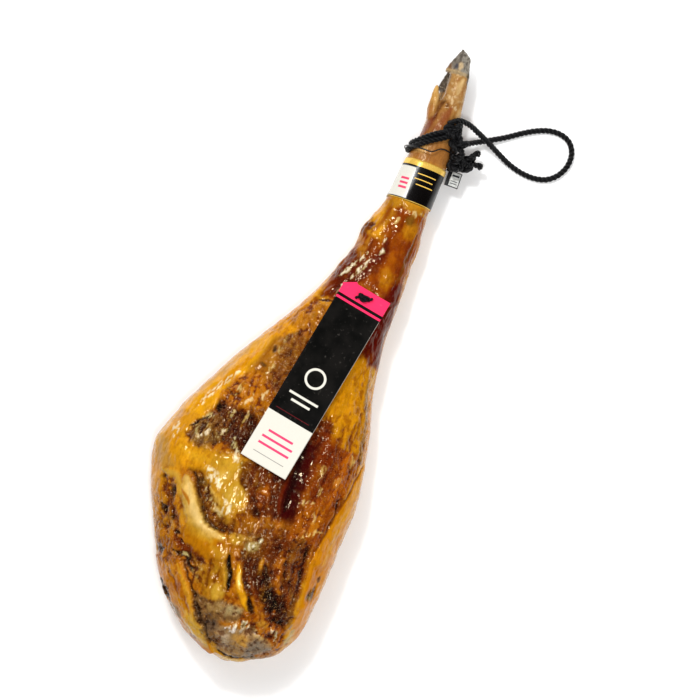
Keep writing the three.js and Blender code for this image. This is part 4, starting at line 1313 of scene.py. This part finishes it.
def rope_material():
    m = Nodes("black_rope")
    where = m.position()
    fibres = m.noise(where, 1500, 3)
    fuzz = m.noise(where, 350, 4)
    base = m.mix(fuzz, colour(4, 4, 5), colour(16, 16, 18))
    base = m.mix(m.ramp(fibres, 0.58, 0.8, 0.0, 0.6), base, colour(44, 44, 50))
    m.set(Base_Color=base, Roughness=m.ramp(fuzz, 0.3, 0.7, 0.42, 0.62))
    m.set(Specular_IOR_Level=0.35)
    m.set(Normal=m.bump(fibres, 0.0004, 0.6))
    return m.material


# The free loop's route, as in the CAD part: out of the knot, down to the table, round and back.
ROPE_LOOP_ROUTE = [
    (15, 724, 59),
    (26, 733, 52.5),
    (40, 735, 40),
    (55, 731, 29),
    (70, 725.5, 21),
    (88, 718, 12),
    (105, 711, 6),
    (124, 706, 3.8),
    (143, 705, 3.8),
    (158, 709, 3.8),
    (170, 719, 3.8),
    (177.5, 735, 3.8),
    (177, 752, 3.8),
    (169, 764.5, 3.8),
    (155.5, 770, 3.8),
    (139, 769, 3.8),
    (123.5, 763, 3.8),
    (108, 754, 3.8),
    (92, 743, 4.2),
    (75, 732.5, 7),
    (59, 722.5, 14),
    (47, 714.5, 23),
    (38, 708, 31),
]


def rope_piece(name, parts, replaces, material):
    vertices, faces = merged(parts)
    piece = new_piece(name, to_frame(vertices), faces, replaces)
    piece.data.materials.append(material)
    return piece


def make_rope_loop(material):
    """The free loop."""
    path = smooth_path(ROPE_LOOP_ROUTE)
    piece = rope_piece("rope_loop_strands", [laid_rope(path)], ["rope_loop"], material)


def make_collars(material):
    """The rope's two turns round the shank, askew, lowest on the leg's left."""
    for turn in (1, 2):
        angle = np.radians(np.linspace(58, 322, 25))
        along = 708.6 + 20 * np.cos(angle) - (turn - 1) * 8.6
        path = smooth_path(skin_points(along, angle, ROPE_DIAMETER / 2 + 0.4))
        parts = hairy_rope(path, 30, turn)
        rope_piece(f"collar_turn_{turn}_strands", parts, [f"rope_collar_turn_{turn}"], material)


def trefoil_curve(points):
    """A closed trefoil knot that fills a box from -1 to 1 each way."""
    t = np.linspace(0, 2 * math.pi, points)
    wide, long, high = np.sin(t) + 2 * np.sin(2 * t), np.cos(t) - 2 * np.cos(2 * t), -np.sin(3 * t)
    curve = np.stack([wide, long, high], axis=1)
    return curve / np.abs(curve).max(axis=0)


def trefoil(middle, radii, turn, tilt):
    """The closed path of a pulled-tight overhand knot that fills an oval of the given half sizes."""
    room = np.array(radii, float) - ROPE_DIAMETER / 2
    c, s = math.cos(turn), math.sin(turn)
    flat = np.array([[c, -s, 0], [s, c, 0], [0, 0, 1]])
    c, s = math.cos(tilt), math.sin(tilt)
    lean = np.array([[c, 0, s], [0, 1, 0], [-s, 0, c]])
    return (trefoil_curve(60) * room) @ flat.T @ lean.T + np.array(middle, float)


def frayed_tail(route, seed):
    """A cut rope end whose strands open out and end in a tuft."""
    path = smooth_path(route, 0.8)
    spread = 1 + 0.7 * smoothstep(0.45, 1.0, np.linspace(0, 1, len(path)))
    rng = random.Random(seed)
    ahead = unit(path[-1] - path[-4])
    parts = [laid_rope(path, spread=spread)]
    side, over = directions_across(path)
    for _ in range(46):
        a, r = rng.uniform(0, 2 * math.pi), rng.uniform(0, 1) ** 0.5 * 3.4
        out = side[-1] * math.cos(a) + over[-1] * math.sin(a)
        start = path[-3] + out * r
        length = rng.uniform(1.6, 3.4)
        end = start + ahead * length + out * rng.uniform(-0.2, 0.9)
        parts.append(tube_mesh(np.array([start, (start + end) / 2, end]), 0.3, 4))
    return parts


# The big knot's three bends and the stopper knot: middle, half sizes, turn and tilt.
KNOT_BENDS = [
    ((25, 715, 50), (14.5, 18, 12), 0.5, 0.5),
    ((34, 700, 45), (14, 19, 13), 2.2, 0.7),
    ((38, 681, 40), (12, 14, 12), 1.2, 0.9),
]
STOPPER_KNOT = ((52, 690, 32), (13, 13.5, 12), 0.2, 0.4)
TAIL_ROUTES = [
    [(56, 698, 31), (60, 703, 29.5), (64, 707.5, 27)],
    [(60, 690, 30), (66, 691.5, 28.5), (73, 692, 26)],
]


def make_knots(material):
    """The knot on the shank, the stopper knot beside it and the two cut tails."""
    parts = []
    for seed, bend in enumerate(KNOT_BENDS, 40):
        path = smooth_path(pushed_out(trefoil(*bend), ROPE_DIAMETER / 2 + 0.3))
        parts += hairy_rope(path, 50, seed)
    rope_piece("knot_wraps", parts, ["rope_knot"], material)
    parts = hairy_rope(smooth_path(trefoil(*STOPPER_KNOT)), 50, 50)
    rope_piece("stopper_wraps", parts, ["rope_stopper_knot"], material)
    for number, route in enumerate(TAIL_ROUTES, 1):
        rope_piece(f"tail_{number}_frayed", frayed_tail(route, number), [f"rope_tail_{number}"], material)


# ------------------------------------------------------------------ the printed band

BAND_START, BAND_LENGTH = 614, 55
# The print in millimetres: along from the band's edge, and across as on the leg.
GOLD_RULES = [(24.0, 2, 24), (31.0, -2, 22), (38.0, 0, 24)]
PANEL_BARS = [(14, 17), (20, 23), (26, 29)]


def make_band():
    """Lacquered paper round the shank, closed all round, with slightly wavy edges."""
    around, rows = 160, 26
    rings, faces, spots = [], [], []
    angle = np.linspace(0, 2 * math.pi, around, endpoint=False)
    outer_count = around * (rows + 1)
    for layer, lift in (("outer", 1.4), ("inner", 0.6)):
        for row in range(rows + 1):
            v = row / rows
            wave = 0.35 * np.sin(3 * angle + 1.0) * (1 - v) - 0.3 * np.sin(2 * angle) * v
            along = BAND_START + 0.4 + (BAND_LENGTH - 0.8) * v + wave
            crease = 0.12 * np.sin(9 * angle + 7 * v) * np.sin(3.1 * v + 2 * angle)
            rounded = 0.25 if row in (0, rows) and layer == "outer" else 0.0
            ring = skin_points(along, angle, lift + (crease - rounded if layer == "outer" else 0))
            rings.append(ring)
            spots.append(np.stack([along - BAND_START, ring[:, 0], ring[:, 2]], axis=1))
    for row in range(rows):
        for k in range(around):
            a, b = row * around + k, row * around + (k + 1) % around
            faces.append((b, a, a + around, b + around))
            a, b = a + outer_count, b + outer_count
            faces.append((a, b, b + around, a + around))
    for k in range(around):
        n = (k + 1) % around
        faces.append((k, n, n + outer_count, k + outer_count))
        last = rows * around
        faces.append((last + n, last + k, last + k + outer_count, last + n + outer_count))
    piece = new_piece("band_paper", to_frame(np.vstack(rings)), faces, ["shank_band"])
    add_attribute(piece.data, "print", np.vstack(spots))
    piece.data.materials.append(band_material())


def band_material():
    """Black paper with gold edges and rules, and a cream panel with pink bars."""
    m = Nodes("printed_band")
    spot = m.attribute("print", "Vector")
    along, across, height = (m.part(spot, axis) for axis in range(3))
    where = m.position()
    fine = m.noise(where, 700, 3)
    gold = m.mix(fine, colour(214, 168, 66), colour(234, 196, 96))
    base = m.mix(m.noise(where, 60, 2), colour(5, 4, 4), colour(12, 10, 9))
    on_top = m.ramp(height, 36, 40)
    for middle, left, right in GOLD_RULES:
        line = m.within(along, middle - 0.6, middle + 0.6, 0.15)
        line = m.math("MULTIPLY", line, m.within(across, left, right, 0.3))
        line = m.math("MULTIPLY", line, on_top)
        base = m.mix(line, base, gold)
    panel = m.math("MULTIPLY", m.within(across, -60, -4, 0.2), m.within(along, 3, 44, 0.2))
    frame_line = m.math("MULTIPLY", m.within(across, -60, -3, 0.15), m.within(along, 2, 45, 0.15))
    base = m.mix(frame_line, base, colour(70, 70, 74))
    base = m.mix(panel, base, m.mix(fine, colour(194, 191, 180), colour(208, 205, 195)))
    for low, high in PANEL_BARS:
        bar = m.math("MULTIPLY", m.within(along, low, high, 0.15), m.within(across, -18, -8, 0.2))
        base = m.mix(bar, base, colour(206, 66, 98))
    strip = m.ramp(along, 46.7, 47.1)
    thin = m.within(along, 0.6, 1.6, 0.15)
    base = m.mix(m.math("MAXIMUM", strip, thin), base, gold)
    m.set(Base_Color=base, Roughness=m.ramp(fine, 0.3, 0.7, 0.20, 0.28))
    m.set(Specular_IOR_Level=0.22)
    m.set(Metallic=m.math("MULTIPLY", m.math("MAXIMUM", strip, thin), 0.3))
    m.set(Normal=m.bump(m.noise(where, 240, 3), 0.0002, 0.3))
    return m.material


# ------------------------------------------------------------------ the card and its tie


def card_to_part(local):
    """Points on the card (widthways, lengthways, above its underside) in the part's own layout."""
    return CARD_FOOT + np.asarray(local, float) @ np.stack(card_axes())


def card_sheet():
    """The card's flat grid, widthways and lengthways, and its faces, less the corner and the hole."""
    half = CARD_WIDTH / 2
    hole = np.array([0, CARD_LENGTH - CARD_HOLE_INSET])
    clip_start = np.array([-half, CARD_LENGTH - 7])
    clip_end = np.array([-half + 11, CARD_LENGTH])
    clip_dir = unit(clip_end - clip_start)
    clip_out = np.array([-clip_dir[1], clip_dir[0]])
    columns, rows = 43, 172
    grid = np.array([(x, y) for y in np.linspace(0, CARD_LENGTH, rows)
                     for x in np.linspace(-half, half, columns)])
    beyond = (grid - clip_start) @ clip_out
    gone = (beyond > 0.8) | (np.linalg.norm(grid - hole, axis=1) < CARD_HOLE_RADIUS - 0.75)
    faces = []
    for corner in range((rows - 1) * columns):
        quad = (corner, corner + 1, corner + columns + 1, corner + columns)
        if (corner + 1) % columns and not gone[list(quad)].any():
            faces.append(quad)
    # The points on the cut edges move onto the clipped corner's line and the hole's circle.
    counts = {}
    for face in faces:
        for a, b in zip(face, (*face[1:], face[0])):
            edge = (min(a, b), max(a, b))
            counts[edge] = counts.get(edge, 0) + 1
    for point in {end for edge, count in counts.items() if count == 1 for end in edge}:
        out = grid[point] - hole
        if np.linalg.norm(out) < CARD_HOLE_RADIUS + 2.2:
            grid[point] = hole + unit(out) * CARD_HOLE_RADIUS
        elif beyond[point] > -2.2:
            grid[point] = grid[point] - clip_out * beyond[point]
    used = sorted({point for face in faces for point in face})
    order = {point: number for number, point in enumerate(used)}
    return grid[used], [tuple(order[point] for point in face) for face in faces]


def make_card():
    """A stiff printed card with a clipped corner, a punched hole and a very slight bow."""
    flat, faces = card_sheet()
    u, v = flat[:, 0] / (CARD_WIDTH / 2), flat[:, 1] / CARD_LENGTH
    bow = 0.9 * u * u * (1 - 0.5 * v) + 0.6 * smoothstep(0.2, 0.0, v) + 0.5 * smoothstep(0.85, 1, v) * u * u
    local = np.column_stack([flat, CARD_THICKNESS + bow])
    piece = new_piece("card_stock", to_frame(card_to_part(local)), faces, ["hang_tag"])
    add_attribute(piece.data, "print", np.column_stack([flat, np.zeros(len(flat))]))
    piece.data.materials.append(card_print())
    piece.data.materials.append(card_paper())
    solid = piece.modifiers.new("thickness", "SOLIDIFY")
    solid.thickness = CARD_THICKNESS * MM
    solid.offset = -1
    solid.material_offset = 1
    solid.material_offset_rim = 1


def card_paper():
    """The bare paper of the card's edges and back."""
    m = Nodes("card_paper")
    grain = m.noise(m.position(), 900, 3)
    m.set(Base_Color=m.mix(grain, colour(214, 208, 192), colour(240, 236, 224)), Roughness=0.7)
    m.set(Normal=m.bump(grain, 0.0001, 0.4))
    return m.material


def card_print():
    """The card's printed face: black, with a pink head, a cream foot, bars, rules and one ring."""
    m = Nodes("card_print")
    spot = m.attribute("print", "Vector")
    u, v = m.part(spot, 0), m.part(spot, 1)
    where = m.position()
    grain = m.noise(where, 900, 3)
    smudge_and_sheen = m.noise(where, 45, 3)
    # The black is blotched lighter and darker; the lighter blotches are painted soft sheen, as from faint
    # wrinkles.
    black = m.mix(m.ramp(smudge_and_sheen, 0.35, 0.65), colour(3, 3, 2), colour(15, 13, 11))
    cream = m.mix(grain, colour(200, 196, 184), colour(212, 209, 198))
    pink = m.mix(grain, colour(236, 36, 84), colour(250, 52, 98))
    bar_pink = colour(224, 62, 104)

    def box(u0, u1, v0, v1):
        return m.math("MULTIPLY", m.within(u, u0, u1, 0.12), m.within(v, v0, v1, 0.12))

    base = m.mix(box(-40, 40, -5, 66), black, cream)
    for area, ink in (
        ((-40, 40, 236, 270), pink),
        ((-40, 40, 229, 232), pink),
        ((-17, 17, 41, 44), bar_pink),
        ((-21, 21, 32, 35), bar_pink),
        ((-21, 21, 23, 26), bar_pink),
        ((-21, 21, 12, 12.8), colour(120, 116, 112)),
        ((-24, 22, 72, 72.8), colour(92, 20, 24)),
        ((31.0, 40, -5, 228), colour(150, 146, 136)),
        ((-20, 20, 96, 99), cream),
        ((-13, 13, 88, 91), cream),
    ):
        base = m.mix(box(*area), base, ink)
    du = m.math("MULTIPLY", u, u)
    dv = m.math("SUBTRACT", v, 126.0)
    ring = m.math("SQRT", m.math("ADD", du, m.math("MULTIPLY", dv, dv)))
    base = m.mix(m.within(ring, 10.5, 13.5, 0.15), base, cream)
    worn = m.math("MULTIPLY", m.ramp(m.noise(where, 260, 4), 0.62, 0.75), 0.06)
    base = m.mix(worn, base, colour(200, 190, 180))
    m.set(Base_Color=base, Roughness=m.ramp(smudge_and_sheen, 0.3, 0.7, 0.40, 0.52))
    m.set(Specular_IOR_Level=0.06)
    m.set(Normal=m.bump(m.noise(where, 60, 2), 0.0003, 0.2))
    return m.material


TIE_DIAMETER, TIE_LAY = 3.4, 7.0


def make_tie(material):
    """A thin cord knotted on the card, its neck going down into the hole."""
    middle = np.array([0, CARD_LENGTH - CARD_HOLE_INSET, CARD_THICKNESS + TIE_DIAMETER])
    knot = trefoil_curve(70) * [7.0, 3.8, 1.2] + middle
    neck = np.array([[1, 0, 0], [0.5, 0, -2], [0, 0, -4], [0, 0, -5.4]]) + middle
    ends = [
        np.array([[5.5, 1.5, 0], [8.5, 3.0, -0.6], [9.6, 5.4, -1.6]]) + middle,
        np.array([[-5.0, -1.5, 0], [-8.2, -3.2, -0.8], [-9.0, -5.2, -1.8]]) + middle,
    ]
    parts = []
    for line in (knot, neck, *ends):
        path = smooth_path(card_to_part(line), 0.6)
        parts.append(laid_rope(path, TIE_DIAMETER, TIE_LAY, 7))
    rope_piece("tie_knot", parts, ["tag_tie"], material)


# ------------------------------------------------------------------ the strap seal

SEAL_CORNER = np.array([36, 655, 23])
SEAL_WIDTH, SEAL_LENGTH, SEAL_THICKNESS = 18, 20, 2.4
SEAL_RIM = 1.2
LABEL_WIDTH, LABEL_LENGTH = 12, 18
STRAP_RADIUS = 0.9


def strap_points():
    """The strap's route: out of the seal, round the shank, under the rope's collar, and back."""
    x, y, z = SEAL_CORNER
    points = [(x + 3, y + SEAL_LENGTH + 1, z + 1.2), (37.5, 680, 27)]
    for degrees in range(0, 331, 15):
        angle = math.radians(degrees)
        on_left = float(smoothstep(-0.4, 0.05, -math.cos(angle)))
        lift = 1.3 + on_left * 8.2
        points.append(tuple(skin_points(692 - 10 * on_left, angle, lift)[0]))
    return [*points, (38, 682, 20), (x + 9, y + SEAL_LENGTH + 1, z + 1.2)]


def rounded_block(corner, size, bevel):
    """A block with rounded edges, as vertices and faces in millimetres."""
    bm = bmesh.new()
    bmesh.ops.create_cube(bm, size=1)
    bmesh.ops.scale(bm, vec=Vector(size), verts=bm.verts)
    bmesh.ops.translate(bm, vec=Vector(np.array(corner) + np.array(size) / 2), verts=bm.verts)
    bmesh.ops.bevel(bm, geom=bm.edges[:], offset=bevel, segments=3, affect="EDGES", profile=0.5)
    bm.verts.index_update()
    vertices = np.array([v.co[:] for v in bm.verts])
    faces = [tuple(v.index for v in f.verts) for f in bm.faces]
    bm.free()
    return vertices, faces


def make_seal():
    """The strap, and the plastic body with its rims, its pad and an eye for each end of the strap."""
    plastic = seal_material()
    path = smooth_path(strap_points(), 1.2)
    tube = tube_mesh(path, STRAP_RADIUS, 10)
    strap = new_piece("seal_strap_line", to_frame(tube[0]), tube[1], ["seal_strap"])
    strap.data.materials.append(plastic)
    x, y, z = SEAL_CORNER
    far_y, rim_z = y + SEAL_LENGTH, z + SEAL_RIM
    blocks = [
        ((x, y, z), (SEAL_WIDTH, SEAL_LENGTH, 1.6), 0.5),
        ((x, y, rim_z), (SEAL_WIDTH, SEAL_RIM, SEAL_RIM), 0.35),
        ((x, far_y - SEAL_RIM, rim_z), (SEAL_WIDTH, SEAL_RIM, SEAL_RIM), 0.35),
        ((x, y, rim_z), (3.6, SEAL_LENGTH, SEAL_RIM), 0.4),
        ((x + SEAL_WIDTH - SEAL_RIM, y, rim_z), (SEAL_RIM, SEAL_LENGTH, SEAL_RIM), 0.35),
        ((x + 4.6, y + 1.6, z + 1.3), (12, 16.8, 1.0), 0.3),
    ]
    parts = [rounded_block(*block) for block in blocks]
    for strap_x in (x + 3, x + 9):
        eye = np.array([[strap_x, far_y - 1.5, rim_z], [strap_x, far_y + 1.4, rim_z]])
        parts.append(tube_mesh(eye, np.array([1.7, 1.3]), 12))
    vertices, faces = merged(parts)
    tab = new_piece("seal_body", to_frame(vertices), faces, ["seal_tab"])
    tab.data.materials.append(plastic)
    make_seal_label()


def make_seal_label():
    """A thin foil label, a little buckled, on the seal."""
    corner = SEAL_CORNER + [5, 1, SEAL_THICKNESS + 0.75]
    columns, rows = 24, 36
    spots = []
    top = []
    for v in np.linspace(0, LABEL_LENGTH, rows + 1):
        for u in np.linspace(0, LABEL_WIDTH, columns + 1):
            buckle = 0.08 * math.sin(u * 0.9 + v * 0.5) + 0.05 * math.sin(v * 1.3 - u * 0.4)
            spots.append((u, v, 0))
            top.append(corner + [u, v, buckle])
    faces = []
    for j in range(rows):
        for i in range(columns):
            a = j * (columns + 1) + i
            faces.append((a, a + 1, a + columns + 2, a + columns + 1))
    piece = new_piece("seal_foil_label", to_frame(top), faces, ["seal_label"])
    add_attribute(piece.data, "print", spots)
    piece.data.materials.append(foil_material())
    solid = piece.modifiers.new("thickness", "SOLIDIFY")
    solid.thickness = 0.35 * MM
    solid.offset = -1


def seal_material():
    m = Nodes("seal_plastic")
    grain = m.noise(m.position(), 500, 3)
    m.set(Base_Color=m.mix(grain, colour(12, 12, 13), colour(30, 30, 33)))
    m.set(Roughness=m.ramp(grain, 0.3, 0.7, 0.28, 0.42), Normal=m.bump(grain, 0.0002, 0.3))
    return m.material


def foil_material():
    m = Nodes("seal_foil")
    spot = m.attribute("print", "Vector")
    u, v = m.part(spot, 0), m.part(spot, 1)
    where = m.position()
    brushed = m.noise(m.position((1, 6, 1)), 500, 3)
    base = m.mix(brushed, colour(176, 178, 175), colour(228, 229, 224))
    for low, high in ((3, 4), (6, 7), (12.5, 15)):
        bar = m.math("MULTIPLY", m.within(v, low, high, 0.1), m.within(u, 1.5, 10.5, 0.1))
        base = m.mix(bar, base, colour(52, 54, 58))
    m.set(Base_Color=base, Metallic=0.3, Roughness=m.ramp(brushed, 0.3, 0.7, 0.25, 0.4))
    m.set(Normal=m.bump(m.noise(where, 300, 2), 0.0002, 0.4))
    return m.material


# ------------------------------------------------------------------ assembly

make_camera()
black_rope = rope_material()
make_rope_loop(black_rope)
make_stage()
make_ham()
make_collars(black_rope)
make_knots(black_rope)
make_band()
make_card()
make_tie(black_rope)
make_seal()
